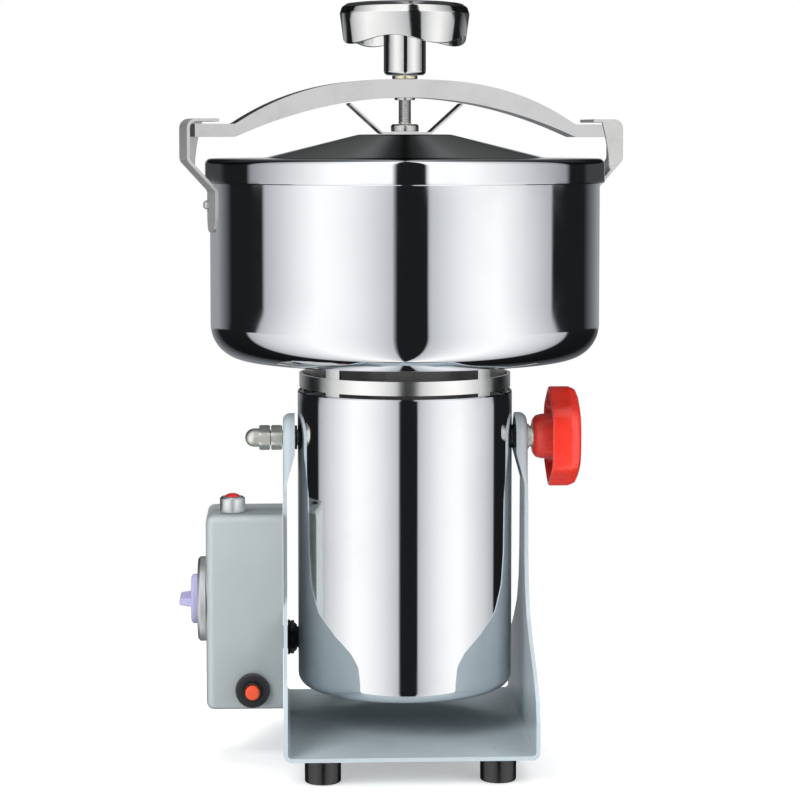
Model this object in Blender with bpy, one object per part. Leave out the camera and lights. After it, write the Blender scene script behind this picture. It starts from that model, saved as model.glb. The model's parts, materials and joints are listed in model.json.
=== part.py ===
"""Dry grain grinder: a tilting pot mill on a U-shaped stand.

X points right, Y back and Z up, in metres. The origin lies on the floor,
on the upright axis of the motor and pot.
"""

import math

import bmesh
import bpy
from mathutils import Matrix, Vector

# Number of flat sides that stand for a full turn
LARGE = 48              # pot, lid
MEDIUM = 36             # motor casing and hand knobs
SMALL = 24
TINY = 16

# Clearances
GAP = 0.0003            # between pieces that touch
RUN = 0.0006            # around a turning shaft

# Motor casing, which the stand and the pot are built around
SHELL_RADIUS = 0.0685
SHELL_BOTTOM = 0.045
SHELL_TOP = 0.2346
SHELL_ROOM = 0.007      # between the casing and a side plate

# Stand
SHEET = 0.0025          # wall of the pressed stand
STAND_WIDTH = 2 * (SHELL_RADIUS + SHELL_ROOM + SHEET)     # over the two side plates
STAND_DEPTH = 0.194
STAND_BEND = 0.008      # outer radius of the two bottom bends
BASE_Z = 0.017          # underside of the base
PIVOT_Z = SHELL_TOP - 0.0306         # height of the tilt axis
EAR_RADIUS = 0.0155
EAR_LIP_DEPTH = SHELL_ROOM - 0.0019  # how far the lip turns in from the side plate
EAR_LIP_END = PIVOT_Z - 0.028     # height where the lip ends
PLATE_WAIST = 0.018     # half depth of a side plate below its ear
WAIST_Z = 0.130
FLARE_Z = 0.074         # height of the middle of the flare

# Feet
FOOT_RADIUS = 0.0112
FOOT_INSET_X = 0.024    # foot centre in from the side plate
FOOT_INSET_Y = 0.022
FOOT_SCREW = 0.005

# Control box
BOX_DEPTH = 0.0487      # out from the side plate
BOX_WIDTH = 0.058       # front to back
BOX_BOTTOM = 0.034
BOX_HEIGHT = 0.124
BOX_WALL = 0.0018
BOX_EDGE = 0.005

# Timer
DIAL_RADIUS = 0.027
DIAL_THICK = 0.0053
TIMER_Z = 0.1005
KNOB_FLANGE_RADIUS = 0.0158
KNOB_FLANGE_THICK = 0.0041
GRIP_HEIGHT = 0.0073
GRIP_THICK = 0.0105
TIMER_SHAFT_RADIUS = 0.003
TIMER_BODY = 0.042

# Pilot lamp and breaker
LAMP_X = -STAND_WIDTH / 2 - 0.032
LAMP_Y = -0.012
LAMP_RADIUS = 0.008
LAMP_HEIGHT = 0.0083
LENS_RADIUS = 0.005
BREAKER_X = -STAND_WIDTH / 2 - 0.0195
BREAKER_Z = 0.0472
BREAKER_NECK = 0.0058
BREAKER_NUT_RADIUS = 0.0109
BREAKER_NUT_THICK = 0.0048
BUTTON_RADIUS = 0.0045
BUTTON_TRAVEL = 0.003

# Glands and conduit
MAINS_GLAND_X = -STAND_WIDTH / 2 - 0.025
MAINS_GLAND_Z = 0.055
GLAND_RADIUS = 0.0115
CONDUIT_RADIUS = 0.0070
STAND_GLAND_Y = 0.045
STAND_GLAND_Z = 0.066
MOTOR_GLAND_X = 0.020
MOTOR_GLAND_Z = 0.088

# Tilt pivots
STUD_RADIUS = 0.005
SPACER_RADIUS = 0.00765
PIVOT_HEX = 0.0080      # hexagon corner radius
HEX_NUT_THICK = 0.0072
CAP_HEX_THICK = 0.0070
CAP_DOME_RADIUS = 0.0059
CAP_DOME_LENGTH = 0.0089
FLAT_WASHER_THICK = 0.0012
SPRING_WASHER_THICK = 0.0016
WASHER_RADIUS = 0.0080
LOCK_RADIUS = 0.032
LOCK_HUB_RADIUS = 0.01435
LOCK_HUB_LENGTH = 0.0105
LOCK_RIM_LENGTH = 0.0185
LOCK_WALL = 0.003
LOCK_LOBES = 6
LOCK_LOBE_DEPTH = 0.075

# Motor casing
SHELL_WALL = 0.0013
SHELL_CORNER = 0.008
COLLAR_WALL = 0.0016
COLLAR_BOTTOM = SHELL_TOP - 0.0126
RING_BOTTOM = SHELL_TOP + 0.0023
RING_TOP = RING_BOTTOM + 0.0087
COLLAR_POST = 0.0115    # width of each of the four posts
COLLAR_SLOT_BOTTOM = SHELL_TOP - 0.0056

# Pot
POT_RADIUS = 0.1236
POT_WALL = 0.0018
POT_BOTTOM = SHELL_TOP + 0.0206
POT_TOP = POT_BOTTOM + 0.1223
POT_CORNER = 0.022
SPIGOT_RADIUS = 0.020   # boss of the motor that passes up through the pot's floor

# Motor
SHAFT_RADIUS = 0.006
SHAFT_BOTTOM = SHELL_BOTTOM + 0.011
BELL_RADIUS = SHELL_RADIUS - 0.0215
BELL_FLOOR = SHELL_TOP - 0.0086
BEARING_RADIUS = 0.016
BEARING_THICK = 0.010
STATOR_RADIUS = SHELL_RADIUS - 0.0105
STATOR_BORE = STATOR_RADIUS - 0.027
STATOR_BOTTOM = SHELL_BOTTOM + 0.075
STATOR_HEIGHT = 0.060
COIL_REACH = 0.009      # of the windings, past each end of the stator
ROTOR_RADIUS = STATOR_BORE - 0.001
ROTOR_SLOTS = 12
COMMUTATOR_RADIUS = 0.014
COMMUTATOR_LENGTH = 0.018
BRUSH_SIDE = 0.006
BRUSH_LENGTH = 0.018
FAN_RADIUS = SHELL_RADIUS - 0.0225
FAN_BLADES = 9
FAN_BOTTOM = SHELL_BOTTOM + 0.015
FAN_HEIGHT = 0.012
LOWER_BRACKET_Z = SHELL_BOTTOM + 0.033

# Cutting gear in the pot
LINER_BOTTOM = POT_BOTTOM + 0.0238
LINER_HEIGHT = 0.046
LINER_WALL = 0.0025
LINER_TOOTH = 0.004
LINER_TEETH = 32
BLADE_REACH = POT_RADIUS - 0.0156
BLADE_WIDTH = 0.028
BLADE_THICK = 0.0025
BLADE_FIRST = POT_BOTTOM + 0.0118     # underside of the lowest blade
BLADE_PITCH = 0.0165
BLADE_TILT = 0.008      # how far a tip is bent up or down
HUB_RADIUS = 0.0135
BLADE_NUT_THICK = 0.009

# Hook clips
HOOK_TURN = 13.0        # degrees about Z that the hooks and the arm stand turned from the X axis
CLIP_WIDTH = 0.026
CLIP_THICK = 0.002
CLIP_REACH = POT_RADIUS + 0.0192    # outer face of the upright part
CLIP_TAB_BOTTOM = POT_TOP - 0.0415
CLIP_TAB_TOP = POT_TOP - 0.0155
CLIP_ELBOW = POT_TOP + 0.0035
CLIP_TOP = CLIP_ELBOW + 0.0258
CLIP_MOUTH = POT_RADIUS - 0.0011    # inner end of the hook
CLIP_CORNER = 0.005
STOP_TOP = 0.0147       # width of the stop flange at its top
STOP_FOOT = 0.0085      # and where it meets the slope
RIVET_RADIUS = 0.00285
RIVET_HEAD = 0.0030
RIVET_Z = POT_TOP - 0.0245
RIVET_Y = 0.007         # from the middle of the strip, towards its stop flange

# Lid
LID_RADIUS = POT_RADIUS + 0.0031
LID_SKIRT = POT_TOP - 0.0109      # lower edge of its skirt
LID_TOP = POT_TOP + 0.0044
LID_WALL = 0.0015
LID_SHOULDER = 0.003
CONE_RADIUS = LID_RADIUS - 0.0362
CONE_TOP_RADIUS = 0.0295
CONE_TOP = LID_TOP + 0.0151
GASKET_WIDTH = 0.006
BOSS_RADIUS = 0.00885
BOSS_HEIGHT = 0.0047
BOSS_FLOOR = 0.002

# Clamp
ARM_SPAN = CLIP_REACH - 0.0058      # half of the arm's length
ARM_WIDTH = 0.018
ARM_THICK = 0.0115      # at the middle
ARM_END_THICK = 0.0081
ARM_END_Z = CLIP_TOP - 0.0033      # top of each end, under the hook
ARM_MID_Z = ARM_END_Z + 0.0282
ARM_BOW = ARM_SPAN - 0.0255         # distance from the middle over which the arm is bowed
BUSH_RADIUS = 0.0065
SPINDLE_RADIUS = 0.00415
WASHER_OUTER = 0.0081
WASHER_THICK = 0.0021
KNOB_HUB_RADIUS = 0.0134
KNOB_RADIUS = 0.0431
KNOB_TOP = ARM_MID_Z + 0.0483
KNOB_EDGE_Z = KNOB_TOP - 0.0267   # lower edge of the rim at its lobes
KNOB_EDGE_RISE = 0.0052           # and how much higher it is between them
KNOB_WALL = 0.003
KNOB_LOBES = 4
KNOB_LOBE_DEPTH = 0.06
KNOB_TURN = 30.5                  # degrees about Z to its first lobe
STAY_WIDTH = 0.010
STAY_THICK = 0.0012
STAY_FOOT = 0.016
STAY_REACH = 0.037
STAY_TOP = ARM_MID_Z - 0.0152

# Sizes that follow from these
PLATE_OUT = STAND_WIDTH / 2
PLATE_IN = PLATE_OUT - SHEET
BASE_TOP = BASE_Z + SHEET
POT_FLOOR = POT_BOTTOM + POT_WALL
POT_INSIDE = POT_RADIUS - POT_WALL
COLLAR_RADIUS = SHELL_RADIUS - SHELL_WALL - GAP
BORE = SHAFT_RADIUS + RUN
BOX_FACE_X = -PLATE_OUT - BOX_DEPTH
BOX_TOP = BOX_BOTTOM + BOX_HEIGHT
DIAL_FACE_X = BOX_FACE_X - GAP - DIAL_THICK
FRONT_Y = -BOX_WIDTH / 2
STATOR_TOP = STATOR_BOTTOM + STATOR_HEIGHT
COMMUTATOR_TOP = STATOR_BOTTOM - COIL_REACH - RUN

COLOURS = {
    "paint": ((0.62, 0.68, 0.69), 0.35, 0.0),
    "box_paint": ((0.58, 0.61, 0.60), 0.35, 0.0),
    "polished": ((0.80, 0.81, 0.83), 0.06, 1.0),
    "satin": ((0.62, 0.61, 0.60), 0.30, 1.0),
    "chrome": ((0.85, 0.85, 0.85), 0.05, 1.0),
    "zinc": ((0.62, 0.63, 0.58), 0.28, 1.0),
    "brass": ((0.66, 0.48, 0.22), 0.28, 1.0),
    "cast": ((0.10, 0.10, 0.10), 0.55, 0.8),
    "laminations": ((0.32, 0.32, 0.33), 0.45, 0.9),
    "copper": ((0.72, 0.33, 0.16), 0.35, 1.0),
    "carbon": ((0.05, 0.05, 0.05), 0.70, 0.0),
    "rubber": ((0.03, 0.03, 0.03), 0.60, 0.0),
    "black_plastic": ((0.02, 0.02, 0.022), 0.35, 0.0),
    "red_plastic": ((0.78, 0.03, 0.02), 0.30, 0.0),
    "orange_plastic": ((0.85, 0.12, 0.04), 0.35, 0.0),
    "lilac_plastic": ((0.62, 0.61, 0.80), 0.35, 0.0),
    "red_lens": ((0.75, 0.03, 0.03), 0.15, 0.0),
    "silicone": ((0.72, 0.72, 0.70), 0.55, 0.0),
}


def clear_scene():
    for old in list(bpy.data.objects):
        bpy.data.objects.remove(old, do_unlink=True)


def material(name):
    found = bpy.data.materials.get(name)
    if found:
        return found
    colour, roughness, metallic = COLOURS[name]
    made = bpy.data.materials.new(name)
    made.use_nodes = True
    shader = made.node_tree.nodes["Principled BSDF"]
    shader.inputs["Base Color"].default_value = (*colour, 1.0)
    shader.inputs["Roughness"].default_value = roughness
    shader.inputs["Metallic"].default_value = metallic
    return made


def add_object(name, bm, finish=None, smooth=35):
    """Make an object from a bmesh, with its faces out."""
    bmesh.ops.remove_doubles(bm, verts=bm.verts, dist=1e-6)
    bmesh.ops.recalc_face_normals(bm, faces=bm.faces)
    mesh = bpy.data.meshes.new(name)
    bm.to_mesh(mesh)
    bm.free()
    if smooth:
        mesh.shade_smooth()
        mesh.set_sharp_from_angle(angle=math.radians(smooth))
    obj = bpy.data.objects.new(name, mesh)
    bpy.context.scene.collection.objects.link(obj)
    if finish:
        mesh.materials.append(material(finish))
    return obj


def arc(centre, radius, start, end, steps):
    """Points of an arc in a plane, from one angle to another in degrees."""
    points = []
    for i in range(steps + 1):
        angle = math.radians(start + (end - start) * i / steps)
        points.append((centre[0] + radius * math.cos(angle), centre[1] + radius * math.sin(angle)))
    return points


def circle(radius, steps, centre=(0.0, 0.0), turn=0.0):
    return arc(centre, radius, turn, turn + 360 * (steps - 1) / steps, steps - 1)


def rounded_rectangle(low, high, radius, steps=2):
    """Outline of a rectangle with round corners, between two opposite corners."""
    left, bottom, right, top = low[0] + radius, low[1] + radius, high[0] - radius, high[1] - radius
    corners = ((right, bottom, -90), (right, top, 0), (left, top, 90), (left, bottom, 180))
    return [point for x, y, start in corners for point in arc((x, y), radius, start, start + 90, steps)]


def spin_profile(bm, profile, steps):
    """Turn a closed outline of (radius, height) about Z."""
    verts = [bm.verts.new((r, 0, z)) for r, z in profile]
    edges = [bm.edges.new((verts[i], verts[(i + 1) % len(verts)])) for i in range(len(verts))
             if profile[i][0] > 0 or profile[(i + 1) % len(verts)][0] > 0]
    bmesh.ops.spin(bm, geom=verts + edges, cent=(0, 0, 0), axis=(0, 0, 1), dvec=(0, 0, 0),
                   angle=2 * math.pi, steps=steps, use_merge=True)


def turned(name, profile, finish=None, steps=SMALL, place=(0, 0, 0), along="Z"):
    """A turned solid whose axis lies along Z, or along X or Y in the sense given."""
    bm = bmesh.new()
    spin_profile(bm, profile, steps)
    obj = add_object(name, bm, finish)
    aim(obj, place, along)
    return obj


TURNS = {
    "Z": Matrix.Identity(4),
    "X": Matrix.Rotation(math.pi / 2, 4, "Y"),
    "-X": Matrix.Rotation(-math.pi / 2, 4, "Y"),
    "Y": Matrix.Rotation(-math.pi / 2, 4, "X"),
    "-Y": Matrix.Rotation(math.pi / 2, 4, "X"),
}


def aim(obj, place, along):
    """Stand a piece that was made along Z on its place, pointing along another axis."""
    obj.matrix_world = Matrix.Translation(Vector(place)) @ TURNS[along]


def swung(obj, degrees):
    """Turn a piece about the pot's axis and hand it back."""
    obj.matrix_world = Matrix.Rotation(math.radians(degrees), 4, "Z") @ obj.matrix_world
    return obj


def cylinder_outline(radius, bottom, top):
    return [(0, bottom), (radius, bottom), (radius, top), (0, top)]


def tube_outline(inner, outer, bottom, top):
    return [(inner, bottom), (outer, bottom), (outer, top), (inner, top)]


def prism(name, outline, low, high, finish=None, plane="XY", place=(0, 0, 0), smooth=35):
    """Extrude an outline drawn in the plane XY, YZ or XZ, from low to high along the third axis."""
    bm = bmesh.new()
    bm_prism(bm, outline, low, high, plane)
    obj = add_object(name, bm, finish, smooth)
    obj.location = place
    return obj


def bm_prism(bm, outline, low, high, plane="XY", matrix=None):
    lift = {"XY": lambda a, b, c: (a, b, c), "YZ": lambda a, b, c: (c, a, b), "XZ": lambda a, b,
            c: (a, c, b)}[plane]
    move = matrix or Matrix.Identity(4)
    bottom = [bm.verts.new(move @ Vector(lift(a, b, low))) for a, b in outline]
    face = bm.faces.new(bottom)
    grown = bmesh.ops.extrude_face_region(bm, geom=[face])
    top = [v for v in grown["geom"] if isinstance(v, bmesh.types.BMVert)]
    shift = move.to_3x3() @ (Vector(lift(0, 0, high)) - Vector(lift(0, 0, low)))
    bmesh.ops.translate(bm, verts=top, vec=shift)


def boxed(name, low, high, finish=None, edge=0.0, smooth=35):
    """A block between two corners, with rounded edges if asked."""
    bm = bmesh.new()
    bm_box(bm, low, high)
    if edge:
        bmesh.ops.bevel(bm, geom=list(bm.edges), offset=edge, segments=2, profile=0.5, affect="EDGES")
    return add_object(name, bm, finish, smooth)


def bm_box(bm, low, high):
    outline = [(low[0], low[1]), (high[0], low[1]), (high[0], high[1]), (low[0], high[1])]
    bm_prism(bm, outline, low[2], high[2])


def with_boolean(obj, tool, operation):
    """Cut, join or intersect a piece with a hidden tool piece."""
    step = obj.modifiers.new(operation.lower(), "BOOLEAN")
    step.operation = operation
    step.solver = "EXACT"
    step.object = tool
    tool.hide_render = True
    tool.display_type = "WIRE"
    return step


def cut(obj, tool):
    with_boolean(obj, tool, "DIFFERENCE")


def fuse(obj, tool):
    with_boolean(obj, tool, "UNION")


def keep(obj, tool):
    with_boolean(obj, tool, "INTERSECT")


def pin_tool(name, radius, low, high, place, along, steps=TINY):
    """A round cutter."""
    return turned(name, cylinder_outline(radius, low, high), steps=steps, place=place, along=along)


def strip_outline(path, thick, corner, steps=3):
    """The closed outline of a strip bent along a path of points, with round bends."""
    middle = round_path(path, corner, steps)
    left, right = [], []
    for i, point in enumerate(middle):
        before = middle[max(i - 1, 0)]
        after = middle[min(i + 1, len(middle) - 1)]
        direction = (Vector(after) - Vector(before)).normalized()
        normal = Vector((-direction.y, direction.x)) * (thick / 2)
        left.append(tuple(Vector(point) + normal))
        right.append(tuple(Vector(point) - normal))
    return left + right[::-1]


def round_path(path, corner, steps):
    """Replace each inner corner of a path with an arc that touches both of its sides."""
    rounded = [path[0]]
    for before, here, after in zip(path, path[1:], path[2:]):
        to_before = (Vector(before) - Vector(here)).normalized()
        to_after = (Vector(after) - Vector(here)).normalized()
        half = to_before.angle(to_after) / 2
        setback = corner / math.tan(half)
        centre = Vector(here) + (to_before + to_after).normalized() * (corner / math.sin(half))
        start = Vector(here) + to_before * setback - centre
        end = Vector(here) + to_after * setback - centre
        sweep = start.angle_signed(end)
        for i in range(steps + 1):
            turn = Matrix.Rotation(-sweep * i / steps, 2)
            rounded.append(tuple(centre + turn @ start))
    rounded.append(path[-1])
    return rounded


def side_outline():
    """Side view of a plate, from the base to the ear: an ogee, the same at front and back."""
    half = STAND_DEPTH / 2
    flare = [(half, BASE_Z), (half, BASE_Z + 0.024), (half - 0.004, BASE_Z + 0.036),
             (half - 0.018, FLARE_Z - 0.010),
             (half * 0.56, FLARE_Z + 0.004), (PLATE_WAIST + 0.015, FLARE_Z + 0.019),
             (PLATE_WAIST + 0.004, FLARE_Z + 0.036), (PLATE_WAIST, WAIST_Z), (EAR_RADIUS, PIVOT_Z)]
    right = round_path(flare, 0.010, 2)[:-1]
    ear = arc((0, PIVOT_Z), EAR_RADIUS, 0, 180, 12)
    left = [(-y, z) for y, z in reversed(right)]
    return right + ear + left


def stand_bracket():
    """The pressed U: bottom and two side plates with ears, and a lip turned in round each ear."""
    top = PIVOT_Z + EAR_RADIUS + 0.005
    path = [(-PLATE_OUT + SHEET / 2, top), (-PLATE_OUT + SHEET / 2, BASE_Z + SHEET / 2),
            (PLATE_OUT - SHEET / 2, BASE_Z + SHEET / 2), (PLATE_OUT - SHEET / 2, top)]
    section = strip_outline(path, SHEET, STAND_BEND - SHEET / 2, steps=4)
    half = STAND_DEPTH / 2
    bracket = prism("stand_bracket", section, -half - 0.001, half + 0.001, "paint", "XZ")
    keep(bracket, prism("side_view_tool", side_outline(), -PLATE_OUT - 0.005, PLATE_OUT + 0.005, plane="YZ"))
    for side in (-1, 1):
        fuse(bracket, ear_lip("ear_lip_tool_" + str(side), side))
        cut(bracket, pin_tool("pivot_hole_tool_" + str(side), STUD_RADIUS + RUN, -0.01, 0.01,
                              (side * PLATE_OUT, 0, PIVOT_Z), "X"))
    cut(bracket, pin_tool("conduit_hole_tool", GLAND_RADIUS - 0.003, -0.01, 0.01,
                          (-PLATE_OUT, STAND_GLAND_Y, STAND_GLAND_Z), "X"))
    for x, y in foot_places():
        cut(bracket, pin_tool("foot_screw_hole_tool", FOOT_SCREW / 2 + GAP, -0.01, 0.01, (x, y, BASE_TOP),
                              "Z", 12))
    return bracket


def ear_lip(name, side):
    """The lip: a band just inside the ear's outline."""
    inset = 0.0002
    outer_r = EAR_RADIUS - inset
    inner_r = outer_r - SHEET
    outer = [(outer_r + inset, EAR_LIP_END)] + arc((0, PIVOT_Z), outer_r, 0, 180,
                                                   12) + [(-outer_r - inset, EAR_LIP_END)]
    inner = [(inner_r + inset, EAR_LIP_END)] + arc((0, PIVOT_Z), inner_r, 0, 180,
                                                   12) + [(-inner_r - inset, EAR_LIP_END)]
    ends = sorted((side * (PLATE_IN - EAR_LIP_DEPTH), side * (PLATE_IN + SHEET / 2)))
    return prism(name, outer + inner[::-1], ends[0], ends[1], plane="YZ")


def foot_places():
    x = PLATE_OUT - FOOT_INSET_X
    y = STAND_DEPTH / 2 - FOOT_INSET_Y
    return [(sx * x, sy * y) for sx in (-1, 1) for sy in (-1, 1)]


def feet():
    """Four rubber feet, each moulded on a stud that fills its hole in the base."""
    recess = FOOT_SCREW + 0.001
    depth = 0.007
    top = BASE_Z - GAP
    bottom_round = 0.0015
    stud = FOOT_SCREW / 2
    outline = [(recess, 0), (FOOT_RADIUS - bottom_round, 0), (FOOT_RADIUS, bottom_round), (FOOT_RADIUS, top),
               (stud, top), (stud, BASE_TOP), (0, BASE_TOP), (0, depth), (recess, depth)]
    names = ("foot_left_front", "foot_left_back", "foot_right_front", "foot_right_back")
    for name, (x, y) in zip(names, foot_places()):
        turned(name, outline, "rubber", TINY, (x, y, 0))


def control_box():
    """The painted cover, open towards the stand, with the plate that closes it."""
    half = BOX_WIDTH / 2
    back_x = -PLATE_OUT - GAP
    cover = boxed("control_box_cover", (BOX_FACE_X, -half, BOX_BOTTOM), (back_x + 0.01, half, BOX_TOP),
                  "box_paint", BOX_EDGE)
    cut(cover, boxed("box_mouth_tool", (back_x, -half - 0.01, BOX_BOTTOM - 0.01), (back_x + 0.02, half + 0.01,
                     BOX_TOP + 0.01)))
    cut(cover, boxed("box_inside_tool", (BOX_FACE_X + BOX_WALL, -half + BOX_WALL, BOX_BOTTOM + BOX_WALL),
                     (back_x + 0.02, half - BOX_WALL, BOX_TOP - BOX_WALL), edge=BOX_EDGE - BOX_WALL))
    cut(cover, pin_tool("timer_hole_tool", TIMER_SHAFT_RADIUS + RUN, -0.01, 0.01, (BOX_FACE_X, 0, TIMER_Z),
                        "X"))
    cut(cover, pin_tool("lamp_hole_tool", LENS_RADIUS + GAP, -0.01, 0.01, (LAMP_X, LAMP_Y, BOX_TOP), "Z"))
    cut(cover, pin_tool("breaker_hole_tool", BREAKER_NECK + GAP, -0.01, 0.01,
                        (BREAKER_X, FRONT_Y, BREAKER_Z), "Y"))
    cut(cover, pin_tool("mains_hole_tool", GLAND_RADIUS - 0.003, -0.01, 0.01,
                        (MAINS_GLAND_X, half, MAINS_GLAND_Z), "Y"))
    inset = BOX_WALL + GAP
    outline = rounded_rectangle((-half + inset, BOX_BOTTOM + inset), (half - inset, BOX_TOP - inset),
                                BOX_EDGE - BOX_WALL)
    prism("box_base_plate", outline, back_x - SHEET, back_x, "zinc", "YZ")


def timer():
    """Dial, lilac knob and shaft, and the clockwork's case inside the box."""
    ring = 0.0015
    outline = [(TIMER_SHAFT_RADIUS + RUN, 0), (DIAL_RADIUS, 0), (DIAL_RADIUS, DIAL_THICK - ring),
               (DIAL_RADIUS - ring, DIAL_THICK), (DIAL_RADIUS - 0.004, DIAL_THICK),
               (DIAL_RADIUS - 0.005, DIAL_THICK - ring),
               (TIMER_SHAFT_RADIUS + RUN, DIAL_THICK - ring)]
    turned("timer_dial", outline, "satin", MEDIUM, (BOX_FACE_X - GAP, 0, TIMER_Z), "-X")
    face = DIAL_FACE_X + ring - GAP
    low = KNOB_FLANGE_THICK + ring
    top = low + GRIP_HEIGHT
    flange = [(0, 0), (KNOB_FLANGE_RADIUS, 0), (KNOB_FLANGE_RADIUS, low - 0.001),
              (KNOB_FLANGE_RADIUS - 0.001, low),
              (0, low)]
    knob = turned("timer_knob", flange, "lilac_plastic", SMALL, (face, 0, TIMER_Z), "-X")
    wide = GRIP_THICK / 2
    thin = wide - 0.0008
    length = KNOB_FLANGE_RADIUS - 0.001
    grip = bmesh.new()
    bm_prism(grip, [(-wide, -length), (wide, -length), (wide, length), (-wide, length)], low - 0.001, top)
    for vert in grip.verts:
        if vert.co.z > low:
            vert.co.x *= thin / wide
            vert.co.y *= 0.86
    blade = add_object("grip_tool", grip)
    rounding = blade.modifiers.new("edges", "BEVEL")
    rounding.width = 0.0012
    rounding.segments = 2
    aim(blade, (face, 0, TIMER_Z), "-X")
    fuse(knob, blade)
    socket = 0.003
    cut(knob, pin_tool("knob_socket_tool", TIMER_SHAFT_RADIUS + GAP, -0.004, socket, (face, 0, TIMER_Z),
                       "-X"))
    body_face = BOX_FACE_X + BOX_WALL + GAP
    shaft_end = body_face + 0.006
    turned("timer_shaft", cylinder_outline(TIMER_SHAFT_RADIUS, face - socket + GAP, shaft_end), "zinc", TINY,
           (0, 0, TIMER_Z), "X")
    half = TIMER_BODY / 2
    case = boxed("timer_case", (body_face, -half, TIMER_Z - half), (body_face + 0.022, half, TIMER_Z + half),
                 "black_plastic", 0.002)
    cut(case, pin_tool("timer_bore_tool", TIMER_SHAFT_RADIUS + RUN, -0.01, shaft_end - body_face + 0.001,
                       (body_face, 0, TIMER_Z), "X"))


def pilot_lamp():
    """A chrome bezel whose stem passes through the top of the box, and its red lens."""
    stem = LENS_RADIUS
    bore = 0.0032
    seat = LAMP_HEIGHT - 0.002
    outline = [(bore, -0.010), (stem, -0.010), (stem, 0), (LAMP_RADIUS, 0),
               (LAMP_RADIUS, LAMP_HEIGHT - 0.002),
               (LAMP_RADIUS - 0.002, LAMP_HEIGHT), (LENS_RADIUS + GAP, LAMP_HEIGHT),
               (LENS_RADIUS + GAP, seat),
               (bore, seat)]
    turned("pilot_lamp_bezel", outline, "chrome", TINY, (LAMP_X, LAMP_Y, BOX_TOP + GAP))
    dome = [(0, seat + GAP), (LENS_RADIUS, seat + GAP), (LENS_RADIUS, LAMP_HEIGHT)]
    rise = 0.0038
    dome += [(LENS_RADIUS * math.cos(a), LAMP_HEIGHT + rise * math.sin(a)) for a in (0.35, 0.75, 1.15)]
    dome += [(0, LAMP_HEIGHT + rise)]
    turned("pilot_lamp_lens", dome, "red_lens", TINY, (LAMP_X, LAMP_Y, BOX_TOP + GAP))


def breaker():
    """Reset breaker: body behind the wall, neck and ring nut in front of it, and the button in the neck."""
    neck_end = 0.0072
    bore = BUTTON_RADIUS + GAP
    inner = -BOX_WALL - GAP
    body = 0.0085
    deep = -0.024
    outline = [(0, deep), (body, deep), (body, inner), (BREAKER_NECK, inner), (BREAKER_NECK, neck_end),
               (bore, neck_end), (bore, inner - 0.002), (0, inner - 0.002)]
    place = (BREAKER_X, FRONT_Y, BREAKER_Z)
    turned("breaker_body", outline, "black_plastic", TINY, place, "-Y")
    nut = [(BREAKER_NECK + GAP, GAP), (BREAKER_NUT_RADIUS, GAP),
           (BREAKER_NUT_RADIUS, BREAKER_NUT_THICK - 0.001),
           (BREAKER_NUT_RADIUS - 0.001, BREAKER_NUT_THICK), (BREAKER_NECK + GAP, BREAKER_NUT_THICK)]
    turned("breaker_ring_nut", nut, "black_plastic", SMALL, place, "-Y")
    foot = inner - 0.002 + BUTTON_TRAVEL + 2 * GAP
    tip = neck_end + BUTTON_TRAVEL + 0.001
    button = [(0, foot), (BUTTON_RADIUS, foot), (BUTTON_RADIUS, tip - 0.001), (BUTTON_RADIUS - 0.001, tip),
              (0, tip)]
    turned("reset_button", button, "orange_plastic", TINY, place, "-Y")


def gland(name, place, along, wall, reach, bore):
    """A cable gland: nut inside the wall, flange and domed nose outside."""
    neck = GLAND_RADIUS - 0.003 - GAP
    outline = [(bore, -wall - 0.005), (GLAND_RADIUS - 0.001, -wall - 0.005),
               (GLAND_RADIUS - 0.001, -wall - GAP),
               (neck, -wall - GAP), (neck, GAP), (GLAND_RADIUS, GAP), (GLAND_RADIUS, reach * 0.45),
               (GLAND_RADIUS - 0.0015, reach * 0.6), (bore + 0.0015, reach), (bore, reach)]
    return turned(name, outline, "black_plastic", TINY, place, along)


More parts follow.
